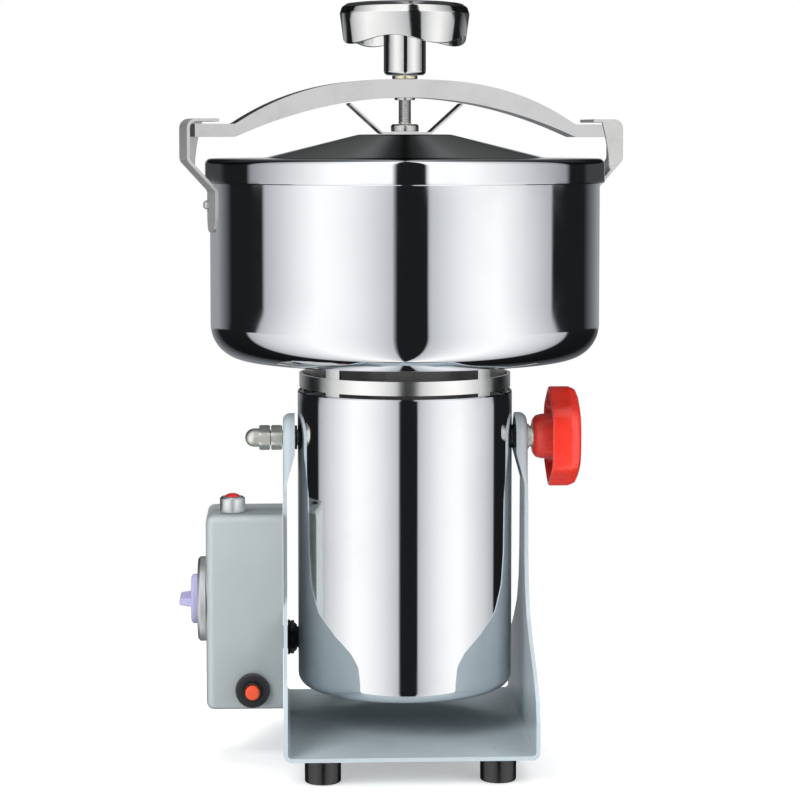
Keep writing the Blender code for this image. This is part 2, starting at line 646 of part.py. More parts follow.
def glands_and_conduit():
    bore = CONDUIT_RADIUS + GAP
    gland("mains_gland", (MAINS_GLAND_X, BOX_WIDTH / 2, MAINS_GLAND_Z), "Y", BOX_WALL, 0.014, 0.0042)
    stand_reach = PLATE_IN - SHELL_RADIUS - 0.0005
    neck = GLAND_RADIUS - 0.003 - GAP
    outline = [(bore, -SHEET - 0.004), (neck, -SHEET - 0.004), (neck, GAP), (GLAND_RADIUS, GAP),
               (GLAND_RADIUS, stand_reach - 0.002), (GLAND_RADIUS - 0.002, stand_reach), (bore, stand_reach)]
    turned("stand_conduit_gland", outline, "black_plastic", TINY, (-PLATE_IN, STAND_GLAND_Y, STAND_GLAND_Z),
           "X")
    surface = math.sqrt(SHELL_RADIUS ** 2 - MOTOR_GLAND_X ** 2)
    nose = 0.012
    seat = SHELL_RADIUS - surface + GAP
    outline = [(bore, -0.006), (neck, -0.006), (neck, seat), (GLAND_RADIUS, seat),
               (GLAND_RADIUS, nose - 0.003),
               (GLAND_RADIUS - 0.002, nose), (bore, nose)]
    turned("motor_conduit_gland", outline, "black_plastic", TINY, (MOTOR_GLAND_X, surface, MOTOR_GLAND_Z),
           "Y")
    start = (-PLATE_IN - SHEET, STAND_GLAND_Y, STAND_GLAND_Z)
    end = (MOTOR_GLAND_X, surface - 0.004, MOTOR_GLAND_Z)
    mouth = -PLATE_IN + stand_reach
    route = [start, (mouth - 0.002, STAND_GLAND_Y, STAND_GLAND_Z),
             (mouth + 0.002, STAND_GLAND_Y, STAND_GLAND_Z),
             (mouth + 0.005, STAND_GLAND_Y + 0.001, STAND_GLAND_Z - 0.0005), (-0.055, 0.056, 0.061),
             (-0.043, 0.076, 0.050), (-0.020, 0.097, 0.040), (0.008, 0.110, 0.042), (0.027, 0.113, 0.058),
             (0.027, 0.106, 0.078), (MOTOR_GLAND_X, surface + 0.026, MOTOR_GLAND_Z),
             (MOTOR_GLAND_X, surface + 0.017, MOTOR_GLAND_Z),
             (MOTOR_GLAND_X, surface + 0.008, MOTOR_GLAND_Z), end]
    tube("conduit", smooth_route(route, 3), CONDUIT_RADIUS, "black_plastic")


def smooth_route(points, steps):
    """Points of a smooth curve through the given ones."""
    ends = [Vector(points[0]) * 2 - Vector(points[1])] + [Vector(p) for p in points]
    ends += [Vector(points[-1]) * 2 - Vector(points[-2])]
    out = []
    for i in range(1, len(ends) - 2):
        a, b, c, d = ends[i - 1:i + 3]
        for k in range(steps):
            t = k / steps
            out.append(0.5 * ((2 * b) + (c - a) * t + (2 * a - 5 * b + 4 * c - d) * t * t
                              + (3 * b - a - 3 * c + d) * t ** 3))
    out.append(ends[-2])
    return out


def tube(name, points, radius, finish):
    curve = bpy.data.curves.new(name, "CURVE")
    curve.dimensions = "3D"
    curve.bevel_depth = radius
    curve.bevel_resolution = 2
    curve.use_fill_caps = True
    line = curve.splines.new("POLY")
    line.points.add(len(points) - 1)
    for point, co in zip(line.points, points):
        point.co = (*co, 1.0)
    curve.materials.append(material(finish))
    obj = bpy.data.objects.new(name, curve)
    bpy.context.scene.collection.objects.link(obj)
    return obj


def pivots():
    """Studs, spacers and nuts on the tilt axis."""
    head_face = math.sqrt((SHELL_RADIUS - SHELL_WALL) ** 2 - 0.009 ** 2) - GAP
    head = 0.004
    centre = (0, 0, PIVOT_Z)
    cap_start = PLATE_OUT + 2 * GAP + HEX_NUT_THICK + GAP
    left_tip = cap_start + CAP_HEX_THICK
    lock_closed = lock_start() + LOCK_HUB_LENGTH + LOCK_RIM_LENGTH - LOCK_WALL
    right_tip = lock_closed - 0.004

    def stud(tip):
        return [(0, head_face - head), (0.009, head_face - head), (0.009, head_face),
                (STUD_RADIUS, head_face),
                (STUD_RADIUS, tip), (0, tip)]

    turned("left_pivot_stud", stud(left_tip), "zinc", TINY, centre, "-X")
    turned("right_pivot_stud", stud(right_tip), "zinc", TINY, centre, "X")
    spacer = tube_outline(STUD_RADIUS + GAP, SPACER_RADIUS, SHELL_RADIUS + GAP, PLATE_IN - GAP)
    turned("left_pivot_spacer", spacer, "cast", TINY, centre, "-X")
    turned("right_pivot_spacer", spacer, "cast", TINY, centre, "X")
    nut_start = PLATE_OUT + GAP
    nut = chamfered(STUD_RADIUS + GAP, PIVOT_HEX, nut_start, nut_start + HEX_NUT_THICK)
    hexed("left_hex_nut", nut, "-X")
    bore = STUD_RADIUS + GAP
    end = cap_start + CAP_HEX_THICK
    neck = CAP_DOME_RADIUS
    chamfer = 0.0008
    cap = [(bore, cap_start), (PIVOT_HEX - chamfer, cap_start), (PIVOT_HEX, cap_start + chamfer),
           (PIVOT_HEX, end - chamfer), (PIVOT_HEX - chamfer, end), (neck, end)]
    cap += [(neck * math.cos(a), end + 0.003 + (CAP_DOME_LENGTH - 0.003) * math.sin(a)) for a in (0, 0.4,
                                                                                                  0.8, 1.2)]
    cap += [(0, end + CAP_DOME_LENGTH), (0, end + 0.002), (bore, end + 0.002)]
    hexed("left_cap_nut", cap, "-X")


def chamfered(inner, outer, low, high):
    chamfer = 0.0008
    return [(inner, low), (outer - chamfer, low), (outer, low + chamfer), (outer, high - chamfer),
            (outer - chamfer, high), (inner, high)]


def hexed(name, outline, along):
    """A nut: turned in 24 steps, with its outer points drawn in to a hexagon."""
    nut = turned(name, outline, "zinc", SMALL, (0, 0, PIVOT_Z), along)
    flat = PIVOT_HEX * math.cos(math.pi / 6)
    for vert in nut.data.vertices:
        radius = math.hypot(vert.co.x, vert.co.y)
        if radius > CAP_DOME_RADIUS + 0.0005:
            angle = math.atan2(vert.co.y, vert.co.x) % (math.pi / 3) - math.pi / 6
            limit = flat / math.cos(angle)
            if radius > limit:
                vert.co.x *= limit / radius
                vert.co.y *= limit / radius
    return nut


def lock_start():
    return PLATE_OUT + FLAT_WASHER_THICK + SPRING_WASHER_THICK + 3 * GAP


def lock_knob():
    """The red hand knob that locks the tilt, its brass insert and its two washers."""
    centre = (0, 0, PIVOT_Z)
    flat_start = PLATE_OUT + GAP
    spring_start = flat_start + FLAT_WASHER_THICK + GAP
    bore = STUD_RADIUS + GAP
    flat = tube_outline(bore, WASHER_RADIUS, flat_start, flat_start + FLAT_WASHER_THICK)
    spring = tube_outline(bore, WASHER_RADIUS - 0.0012, spring_start, spring_start + SPRING_WASHER_THICK)
    turned("lock_flat_washer", flat, "zinc", TINY, centre, "X")
    turned("lock_spring_washer", spring, "zinc", TINY, centre, "X")
    start = lock_start()
    hub_end = start + LOCK_HUB_LENGTH
    end = hub_end + LOCK_RIM_LENGTH
    insert_radius = STUD_RADIUS + 0.0025
    insert_end = end - LOCK_WALL - 0.001
    hub = LOCK_HUB_RADIUS
    rim = LOCK_RADIUS
    outline = [(insert_radius + GAP, start), (hub - 0.004, start), (hub - 0.001, start + 0.002),
               (hub, start + 0.006),
               (hub, end - LOCK_WALL), (rim - LOCK_WALL - 0.002, end - LOCK_WALL - 0.001),
               (rim - LOCK_WALL, end - LOCK_WALL - 0.004), (rim - LOCK_WALL, hub_end), (rim, hub_end),
               (rim, end - 0.006), (rim - 0.0018, end - 0.0018), (rim - 0.006, end), (0, end),
               (0, insert_end + GAP), (insert_radius + GAP, insert_end + GAP)]
    knob = turned("tilt_lock_knob", outline, "red_plastic", MEDIUM, centre, "X")
    lobed(knob, LOCK_LOBES, LOCK_LOBE_DEPTH, hub + 0.003, rim)
    insert = tube_outline(STUD_RADIUS + GAP, insert_radius, start + 0.0005, insert_end)
    turned("lock_knob_insert", insert, "brass", TINY, centre, "X")


def valley(point, lobes, turn=0.0):
    """Share from 0 at a lobe of a knob to 1 midway between two of them."""
    angle = math.atan2(point.y, point.x) - math.radians(turn)
    return (1 - math.cos(lobes * angle)) / 2


def lobed(knob, lobes, depth, inner, outer, turn=0.0):
    """Draw the rim of a turned knob in between its lobes, more the farther out it is."""
    for vert in knob.data.vertices:
        radius = math.hypot(vert.co.x, vert.co.y)
        if radius > inner:
            share = (radius - inner) / (outer - inner)
            factor = 1 - depth * share * valley(vert.co, lobes, turn)
            vert.co.x *= factor
            vert.co.y *= factor


def motor_casing():
    """The polished cup, the slotted collar above it and what passes through the cup's wall."""
    inner = SHELL_RADIUS - SHELL_WALL
    round_in = SHELL_CORNER - SHELL_WALL
    outline = [(0, SHELL_BOTTOM)]
    outline += arc((SHELL_RADIUS - SHELL_CORNER, SHELL_BOTTOM + SHELL_CORNER), SHELL_CORNER, -90, 0, 3)
    outline += [(SHELL_RADIUS, SHELL_TOP), (inner, SHELL_TOP)]
    outline += arc((SHELL_RADIUS - SHELL_CORNER, SHELL_BOTTOM + SHELL_CORNER), round_in, 0, -90, 3)
    outline += [(0, SHELL_BOTTOM + SHELL_WALL)]
    shell = turned("motor_shell", outline, "polished", MEDIUM)
    cut(shell, pin_tool("stud_hole_tool", STUD_RADIUS + GAP, -SHELL_RADIUS - 0.01, SHELL_RADIUS + 0.01,
                        (0, 0, PIVOT_Z), "X"))
    cut(shell, pin_tool("motor_gland_hole_tool", GLAND_RADIUS - 0.003, SHELL_RADIUS * 0.6,
                        SHELL_RADIUS + 0.02,
                        (MOTOR_GLAND_X, 0, MOTOR_GLAND_Z), "Y"))
    slots = bmesh.new()
    for i in range(8):
        turn = Matrix.Rotation(math.radians(45 * i + 22.5), 4, "Z")
        bm_prism(slots, [(0.020, -0.003), (0.050, -0.003), (0.050, 0.003), (0.020, 0.003)],
                 SHELL_BOTTOM - 0.01, SHELL_BOTTOM + 0.01, matrix=turn)
    cut(shell, add_object("vent_slots_tool", slots))
    band = 0.0005
    outline = [(COLLAR_RADIUS - COLLAR_WALL, COLLAR_BOTTOM), (COLLAR_RADIUS, COLLAR_BOTTOM),
               (COLLAR_RADIUS, RING_BOTTOM), (COLLAR_RADIUS + band, RING_BOTTOM),
               (COLLAR_RADIUS + band, RING_TOP),
               (COLLAR_RADIUS, RING_TOP), (COLLAR_RADIUS, POT_BOTTOM - GAP), (COLLAR_RADIUS - COLLAR_WALL,
               POT_BOTTOM - GAP)]
    collar = turned("neck_collar", outline, "satin", MEDIUM)
    windows = bmesh.new()
    for low, high in ((COLLAR_SLOT_BOTTOM, RING_BOTTOM), (RING_TOP, POT_BOTTOM + 0.01)):
        for i in range(4):
            windows_sector(windows, i, low, high)
    cut(collar, add_object("collar_windows_tool", windows))


def windows_sector(bm, quarter, low, high):
    """A wedge between two posts, which stand at 45 degrees."""
    half_post = math.degrees(COLLAR_POST / 2 / COLLAR_RADIUS)
    start = 90 * quarter - 45 + half_post
    outer = arc((0, 0), COLLAR_RADIUS + 0.02, start, start + 90 - 2 * half_post, 3)
    inner = arc((0, 0), COLLAR_RADIUS - 0.01, start + 90 - 2 * half_post, start, 3)
    bm_prism(bm, outer + inner, low, high)


def pot():
    """The polished pot, pressed in one piece, with a hole in its floor for the motor's spigot."""
    centre = (POT_RADIUS - POT_CORNER, POT_BOTTOM + POT_CORNER)
    hole = SPIGOT_RADIUS + GAP
    outline = [(hole, POT_BOTTOM)] + arc(centre, POT_CORNER, -90, 0, 4) + [(POT_RADIUS, POT_TOP),
                                                                           (POT_INSIDE, POT_TOP)]
    outline += arc(centre, POT_CORNER - POT_WALL, 0, -90, 4) + [(hole, POT_FLOOR)]
    shell = turned("grinding_pot", outline, "polished", LARGE)
    hole_span = 3 * POT_WALL
    for turn in (HOOK_TURN, HOOK_TURN + 180):
        hole = pin_tool("pot_rivet_hole_tool", RIVET_RADIUS * 0.6 + GAP, POT_RADIUS - hole_span,
                        POT_RADIUS + hole_span,
                        (0, -RIVET_Y, RIVET_Z), "X", 10)
        cut(shell, swung(hole, turn))


def motor_frame():
    """Top bell with its spigot, bottom bracket, bearings and shaft seal."""
    bell_top = POT_BOTTOM - GAP
    flange = COLLAR_RADIUS - COLLAR_WALL - GAP
    spigot_top = POT_FLOOR + 0.003
    leg_radius = 0.0045
    leg_ring = STATOR_RADIUS - leg_radius - 0.001
    pocket_top = BELL_FLOOR + BEARING_THICK + GAP
    bell = [(BEARING_RADIUS + GAP, BELL_FLOOR), (flange, BELL_FLOOR), (flange, BELL_FLOOR + 0.003),
            (BELL_RADIUS + 0.002, BELL_FLOOR + 0.004), (BELL_RADIUS, BELL_FLOOR + 0.008),
            (BELL_RADIUS, bell_top),
            (SPIGOT_RADIUS, bell_top), (SPIGOT_RADIUS, spigot_top), (BORE, spigot_top), (BORE, pocket_top),
            (BEARING_RADIUS + GAP, pocket_top)]
    top = turned("motor_top_bell", bell, "cast", SMALL)
    fuse(top, legs("top_leg_tool", leg_ring, leg_radius, STATOR_TOP + GAP, BELL_FLOOR + 0.001))
    seat = LOWER_BRACKET_Z
    outline = [(BORE, seat - 0.003), (BEARING_RADIUS + 0.004, seat - 0.003),
               (BEARING_RADIUS + 0.004, seat + 0.003), (STATOR_RADIUS, seat + 0.006),
               (STATOR_RADIUS, seat + 0.010), (BEARING_RADIUS + 0.004, seat + 0.010),
               (BEARING_RADIUS + 0.004, seat + BEARING_THICK), (BEARING_RADIUS + GAP, seat + BEARING_THICK),
               (BEARING_RADIUS + GAP, seat), (BORE, seat)]
    bottom = turned("motor_bottom_bracket", outline, "cast", SMALL)
    fuse(bottom, legs("bottom_leg_tool", leg_ring, leg_radius, seat + 0.009, STATOR_BOTTOM - GAP))
    brush_holders(bottom)
    bearing = tube_outline(SHAFT_RADIUS + GAP, BEARING_RADIUS, GAP, BEARING_THICK - GAP)
    turned("upper_bearing", bearing, "satin", SMALL, (0, 0, BELL_FLOOR))
    turned("lower_bearing", bearing, "satin", SMALL, (0, 0, seat))
    turned("shaft_seal", tube_outline(BORE, SPIGOT_RADIUS - 0.004, spigot_top + GAP, spigot_top + 0.004),
           "silicone", SMALL)


def legs(name, ring, radius, low, high):
    bm = bmesh.new()
    for x, y in circle(ring, 4, turn=45):
        bm_prism(bm, circle(radius, 10, (x, y)), low, high)
    return add_object(name, bm)


def stator():
    """Laminated stack with two poles, and a coil on each end of each pole."""
    core = turned("stator", tube_outline(STATOR_BORE, STATOR_RADIUS, STATOR_BOTTOM, STATOR_TOP),
                  "laminations", SMALL)
    slots = bmesh.new()
    inner, outer = STATOR_BORE + 0.003, STATOR_RADIUS - 0.012
    for start in (25, 115, 205, 295):
        ring = arc((0, 0), outer, start, start + 40, 4) + arc((0, 0), inner, start + 40, start, 4)
        bm_prism(slots, ring, STATOR_BOTTOM - 0.01, STATOR_TOP + 0.01)
    cut(core, add_object("winding_slots_tool", slots))
    bm = bmesh.new()
    for low in (STATOR_TOP - 0.001, STATOR_BOTTOM + 0.001 - COIL_REACH):
        for start in (-62, 118):
            ring = arc((0, 0), outer - 0.001, start, start + 124, 8)
            ring += arc((0, 0), inner + 0.001, start + 124, start, 8)
            bm_prism(bm, ring, low, low + COIL_REACH)
    fuse(core, add_object("field_coils_tool", bm))


def rotor():
    """Shaft with the slotted armature, commutator and fan."""
    thread_top = blade_stack_top() + BLADE_NUT_THICK + 0.002
    shoulder = BLADE_FIRST
    thin = SHAFT_RADIUS - 0.001
    turned("motor_shaft", [(0, SHAFT_BOTTOM), (SHAFT_RADIUS, SHAFT_BOTTOM), (SHAFT_RADIUS, shoulder),
                           (thin, shoulder),
                           (thin, thread_top), (0, thread_top)], "satin", TINY)
    inner = SHAFT_RADIUS + GAP
    core = turned("armature", tube_outline(inner, ROTOR_RADIUS, STATOR_BOTTOM + 0.002, STATOR_TOP - 0.002),
                  "laminations", SMALL)
    slots = bmesh.new()
    for i in range(ROTOR_SLOTS):
        turn = Matrix.Rotation(2 * math.pi * i / ROTOR_SLOTS, 4, "Z")
        bm_prism(slots, [(ROTOR_RADIUS - 0.008, -0.0014), (ROTOR_RADIUS + 0.002, -0.0014),
                         (ROTOR_RADIUS + 0.002, 0.0014), (ROTOR_RADIUS - 0.008, 0.0014)],
                 STATOR_BOTTOM - 0.01, STATOR_TOP + 0.01, matrix=turn)
    cut(core, add_object("armature_slots_tool", slots))
    bottom = COMMUTATOR_TOP - COMMUTATOR_LENGTH
    turned("commutator", tube_outline(inner, COMMUTATOR_RADIUS, bottom, COMMUTATOR_TOP), "copper", SMALL)
    hub = 0.012
    fan = turned("cooling_fan", [(inner, FAN_BOTTOM), (hub, FAN_BOTTOM),
                                 (hub, FAN_BOTTOM + FAN_HEIGHT - 0.0015),
                                 (FAN_RADIUS, FAN_BOTTOM + FAN_HEIGHT - 0.0015),
                                 (FAN_RADIUS, FAN_BOTTOM + FAN_HEIGHT), (inner, FAN_BOTTOM + FAN_HEIGHT)],
                 "black_plastic", SMALL)
    vanes = bmesh.new()
    for i in range(FAN_BLADES):
        turn = Matrix.Rotation(2 * math.pi * i / FAN_BLADES, 4, "Z")
        bm_prism(vanes, [(hub - 0.001, -0.0008), (FAN_RADIUS - 0.001, -0.0008), (FAN_RADIUS - 0.001, 0.0008),
                         (hub - 0.001, 0.0008)], FAN_BOTTOM, FAN_BOTTOM + FAN_HEIGHT - 0.0008, matrix=turn)
    fuse(fan, add_object("fan_vanes_tool", vanes))


def brush_height():
    return COMMUTATOR_TOP - COMMUTATOR_LENGTH / 2


def brushes():
    """Carbon brushes pressed on the commutator."""
    half = BRUSH_SIDE / 2
    centre = brush_height()
    for name, side in (("left_brush", -1), ("right_brush", 1)):
        ends = sorted((side * (COMMUTATOR_RADIUS + GAP), side * (COMMUTATOR_RADIUS + BRUSH_LENGTH)))
        boxed(name, (ends[0], -half, centre - half), (ends[1], half, centre + half), "carbon", 0, 0)


def brush_holders(bracket):
    """Two holders that rise from the bottom bracket round the brushes."""
    centre = brush_height()
    half = BRUSH_SIDE / 2 + GAP
    wall = 0.0015
    foot = LOWER_BRACKET_Z + 0.008
    start = COMMUTATOR_RADIUS + 0.007
    end = start + BRUSH_LENGTH
    body = bmesh.new()
    slot = bmesh.new()
    for side in (-1, 1):
        low, high = sorted((side * start, side * end))
        bm_box(body, (low, -half - wall, foot), (high, half + wall, centre + half + wall))
        low, high = sorted((side * (start - 0.01), side * (end - wall)))
        bm_box(slot, (low, -half, centre - half), (high, half, centre + half))
    fuse(bracket, add_object("brush_holder_tool", body, smooth=0))
    cut(bracket, add_object("brush_slot_tool", slot, smooth=0))


def blade_stack_top():
    return BLADE_FIRST + 2 * BLADE_PITCH + BLADE_THICK + 2 * GAP


def toothed_liner():
    """Ring of upright teeth in the pot's wall, which the grain is thrown against."""
    outer = POT_INSIDE - GAP
    inner = outer - LINER_WALL
    bm = bmesh.new()
    rows = []
    for z in (LINER_BOTTOM, LINER_BOTTOM + LINER_HEIGHT):
        inside, outside = [], []
        for i in range(2 * LINER_TEETH):
            angle = math.pi * i / LINER_TEETH
            radius = inner - (LINER_TOOTH if i % 2 else 0)
            inside.append(bm.verts.new((radius * math.cos(angle), radius * math.sin(angle), z)))
            outside.append(bm.verts.new((outer * math.cos(angle), outer * math.sin(angle), z)))
        rows += [inside, outside]
    low_in, low_out, high_in, high_out = rows
    count = 2 * LINER_TEETH
    for i in range(count):
        j = (i + 1) % count
        bm.faces.new((low_out[i], low_out[j], high_out[j], high_out[i]))
        bm.faces.new((low_in[j], low_in[i], high_in[i], high_in[j]))
        bm.faces.new((high_out[i], high_out[j], high_in[j], high_in[i]))
        bm.faces.new((low_out[j], low_out[i], low_in[i], low_in[j]))
    add_object("toothed_liner", bm, "satin", 20)


def blades():
    """Three blades on the shaft, set 60 degrees apart; the lower two carry the spacer above them."""
    thin = SHAFT_RADIUS - 0.001
    names = ("lower_blade", "middle_blade", "upper_blade")
    lifts = (-0.3, 0.5, 1.0)    # share of the bend at each blade's tips
    for i, (name, lift) in enumerate(zip(names, lifts)):
        base = BLADE_FIRST + GAP + i * BLADE_PITCH
        blade = lofted_blade(name, base, lift * BLADE_TILT, math.radians(60 * i + 20))
        if i < 2:
            spacer = cylinder_outline(HUB_RADIUS, base + BLADE_THICK / 2, base + BLADE_PITCH - GAP)
            fuse(blade, turned(name + "_spacer_tool", spacer, steps=TINY))
        cut(blade, pin_tool(name + "_bore_tool", thin + GAP, BLADE_FIRST - 0.01, blade_stack_top() + 0.01,
                            (0, 0, 0), "Z"))
    low = blade_stack_top() + GAP
    nut = prism("blade_nut", circle(HUB_RADIUS, 6), low, low + BLADE_NUT_THICK, "zinc")
    cut(nut, pin_tool("blade_nut_bore_tool", thin + GAP, low - 0.01, low + 0.02, (0, 0, 0), "Z"))


def lofted_blade(name, base, lift, turn):
    """A flat bar with ground leading edges: sections joined from tip to tip."""
    half = BLADE_WIDTH / 2
    stations = [(-BLADE_REACH, 0.25, 0.85, 1.0), (-0.62 * BLADE_REACH, 0.55, 0.95, 0.25),
                (-HUB_RADIUS, 1.0, 1.0, 0.0),
                (HUB_RADIUS, 1.0, 1.0, 0.0), (0.62 * BLADE_REACH, 0.95, 0.55, 0.25),
                (BLADE_REACH, 0.85, 0.25, 1.0)]
    bm = bmesh.new()
    rings = []
    for x, front, back, share in stations:
        z = base + lift * share
        ring = [(x, -half * front, z), (x, half * back, z), (x, half * back, z + BLADE_THICK),
                (x, -half * front, z + BLADE_THICK)]
        rings.append([bm.verts.new(Matrix.Rotation(turn, 3, "Z") @ Vector(p)) for p in ring])
    for a, b in zip(rings, rings[1:]):
        for i in range(4):
            j = (i + 1) % 4
            bm.faces.new((a[i], a[j], b[j], b[i]))
    bm.faces.new(rings[0][::-1])
    bm.faces.new(rings[-1])
    return add_object(name, bm, "satin", 20)


def clips():
    """The two hooks on the pot: a bent strip, a stop flange on one side, and a rivet."""
    tab_x = POT_RADIUS + GAP + CLIP_THICK / 2
    post_x = CLIP_REACH - CLIP_THICK / 2
    top_z = CLIP_TOP - CLIP_THICK / 2
    path = [(tab_x, CLIP_TAB_BOTTOM), (tab_x, CLIP_TAB_TOP), (post_x, CLIP_ELBOW), (post_x, top_z),
            (CLIP_MOUTH, top_z)]
    outline = strip_outline(path, CLIP_THICK, CLIP_CORNER, steps=4)
    half = CLIP_WIDTH / 2
    tail = math.sqrt(POT_INSIDE ** 2 - (RIVET_Y + RIVET_RADIUS) ** 2) - GAP
    shank = RIVET_RADIUS * 0.6
    face = tab_x + CLIP_THICK / 2
    rivet = [(0, tail - 0.0015), (RIVET_RADIUS, tail - 0.0015), (RIVET_RADIUS, tail), (shank, tail),
             (shank, face - 0.001), (RIVET_RADIUS, face - 0.001), (RIVET_RADIUS, face + RIVET_HEAD * 0.6),
             (shank, face + RIVET_HEAD), (0, face + RIVET_HEAD)]
    for name, turn in (("right_hook_clip", HOOK_TURN), ("left_hook_clip", HOOK_TURN + 180)):
        clip = swung(prism(name, outline, -half, half, "satin", "XZ"), turn)
        front = prism(name + "_front_tool", clip_front_outline(half), CLIP_MOUTH - 0.01, CLIP_REACH + 0.01,
                      plane="YZ")
        keep(clip, swung(front, turn))
        stop = prism(name + "_stop_tool", stop_outline(post_x, top_z), -half, -half + CLIP_THICK, plane="XZ")
        fuse(clip, swung(stop, turn))
        head = turned(name + "_rivet_tool", rivet, steps=8, place=(0, -RIVET_Y, RIVET_Z), along="X")
        fuse(clip, swung(head, turn))


def stop_outline(post_x, top_z):
    """Side view of the flange that stops the arm, narrower towards its foot."""
    foot_z = CLIP_ELBOW - 0.0075
    slope = (post_x - POT_RADIUS) / (CLIP_ELBOW - CLIP_TAB_TOP)
    foot_x = post_x - (CLIP_ELBOW - foot_z) * slope
    corner = CLIP_CORNER * 0.4
    return [(foot_x, foot_z), (post_x, CLIP_ELBOW), (post_x, top_z - corner), (post_x - corner, top_z),
            (CLIP_REACH - STOP_TOP, top_z), (CLIP_REACH - STOP_TOP + 0.003, CLIP_ELBOW + 0.010),
            (CLIP_REACH - STOP_FOOT - 0.001, CLIP_ELBOW - 0.004)]


def clip_front_outline(half):
    """Front view of a clip: a strip whose lower end is round."""
    corner = half * 0.75
    low = CLIP_TAB_BOTTOM
    bottom = arc((-half + corner, low + corner), corner, 180, 270, 4) + arc((half - corner, low + corner),
                                                                            corner,
                                                                        270, 360, 4)
    return bottom + [(half, CLIP_TOP + 0.01), (-half, CLIP_TOP + 0.01)]


def lid():
    """The stepped conical lid with its gasket, boss and leaf-spring stay."""
    inner = LID_RADIUS - LID_WALL
    under = LID_TOP - LID_WALL
    shoulder = arc((LID_RADIUS - LID_SHOULDER, LID_TOP - LID_SHOULDER), LID_SHOULDER, 0, 90, 3)
    shoulder_in = arc((LID_RADIUS - LID_SHOULDER, LID_TOP - LID_SHOULDER), LID_SHOULDER - LID_WALL, 90, 0, 3)
    outline = [(inner, LID_SKIRT), (LID_RADIUS, LID_SKIRT)] + shoulder
    outline += [(CONE_RADIUS, LID_TOP), (CONE_TOP_RADIUS, CONE_TOP), (0, CONE_TOP), (0, CONE_TOP - LID_WALL),
                (CONE_TOP_RADIUS, CONE_TOP - LID_WALL), (CONE_RADIUS, under)]
    outline += shoulder_in
    turned("lid", outline, "polished", LARGE)
    edge = LID_RADIUS - LID_SHOULDER
    turned("lid_gasket", tube_outline(edge - GASKET_WIDTH, edge, POT_TOP + GAP, under - GAP), "silicone",
           LARGE)
    low = CONE_TOP + 2 * GAP + STAY_THICK
    socket = SPINDLE_RADIUS * 0.7 + GAP
    top = low + BOSS_HEIGHT
    floor = low + BOSS_FLOOR
    boss = [(0, low), (BOSS_RADIUS, low), (BOSS_RADIUS, top - 0.001), (BOSS_RADIUS - 0.001, top),
            (socket, top),
            (socket, floor), (0, floor)]
    turned("lid_boss", boss, "satin", SMALL)
    flat = CONE_TOP + GAP + STAY_THICK / 2
    path = [(-STAY_REACH, STAY_TOP), (-STAY_FOOT, flat), (STAY_FOOT, flat), (STAY_REACH, STAY_TOP)]
    stay = strip_outline(path, STAY_THICK, 0.002, steps=2)
    swung(prism("lid_stay", stay, -STAY_WIDTH / 2, STAY_WIDTH / 2, "satin", "XZ"), HOOK_TURN)


def arm_top(x):
    """Height of the arm's upper face at a distance from the middle."""
    return ARM_MID_Z - (ARM_MID_Z - ARM_END_Z) * min(1, abs(x) / ARM_BOW) ** 2.6


def arm_under(x):
    low = ARM_END_Z - ARM_END_THICK
    return ARM_MID_Z - ARM_THICK - (ARM_MID_Z - ARM_THICK - low) * min(1, abs(x) / ARM_BOW) ** 2


def clamp():
    """The bowed arm with its welded bush, and the screw with the chrome star knob."""
    steps = 28
    xs = [ARM_SPAN * (2 * i / steps - 1) for i in range(steps + 1)]
    outline = [(x, arm_under(x)) for x in xs] + [(x, arm_top(x)) for x in reversed(xs)]
    arm = prism("clamp_arm", outline, -ARM_WIDTH / 2, ARM_WIDTH / 2, "satin", "XZ")
    under = ARM_MID_Z - ARM_THICK
    bore = SPINDLE_RADIUS + GAP
    fuse(arm, turned("arm_bush_tool", cylinder_outline(BUSH_RADIUS, under - 0.0015, under + 0.004),
                     steps=TINY))
    cut(arm, pin_tool("arm_bore_tool", bore, ARM_MID_Z - 0.03, ARM_MID_Z + 0.01, (0, 0, 0), "Z"))
    swung(arm, HOOK_TURN)
    seat = ARM_MID_Z + GAP
    turned("knob_washer", tube_outline(bore, WASHER_OUTER, seat, seat + WASHER_THICK), "brass", SMALL)
    hub_low = seat + WASHER_THICK + GAP
    hub_bore_top = KNOB_TOP - 0.010
    foot = SPINDLE_RADIUS * 0.7
    boss_low = CONE_TOP + 2 * GAP + STAY_THICK
    boss_top = boss_low + BOSS_HEIGHT
    foot_z = boss_low + BOSS_FLOOR + GAP
    turned("clamp_spindle", [(0, foot_z), (foot, foot_z), (foot, boss_top + GAP),
                             (SPINDLE_RADIUS, boss_top + GAP),
                             (SPINDLE_RADIUS, hub_bore_top - GAP), (0, hub_bore_top - GAP)], "satin", TINY)
    hub = KNOB_HUB_RADIUS
    rim = KNOB_RADIUS
    inner = rim - KNOB_WALL - 0.002
    ceiling = KNOB_TOP - KNOB_WALL - 0.002
    outline = [(bore, hub_low), (hub - 0.002, hub_low), (hub, hub_low + 0.002), (hub, ceiling),
               (inner - 0.006, ceiling),
               (inner, ceiling - 0.006), (inner, KNOB_EDGE_Z), (rim - 0.0026, KNOB_EDGE_Z),
               (rim, KNOB_TOP - 0.007),
               (rim - 0.0015, KNOB_TOP - 0.003), (rim - 0.005, KNOB_TOP - 0.0008), (rim - 0.012, KNOB_TOP),
               (0, KNOB_TOP), (0, hub_bore_top), (bore, hub_bore_top)]
    knob = turned("clamp_knob", outline, "chrome", MEDIUM)
    for vert in knob.data.vertices:
        if abs(vert.co.z - KNOB_EDGE_Z) < 1e-5:
            vert.co.z += KNOB_EDGE_RISE * valley(vert.co, KNOB_LOBES, KNOB_TURN)
    lobed(knob, KNOB_LOBES, KNOB_LOBE_DEPTH, hub + 0.004, rim, KNOB_TURN)


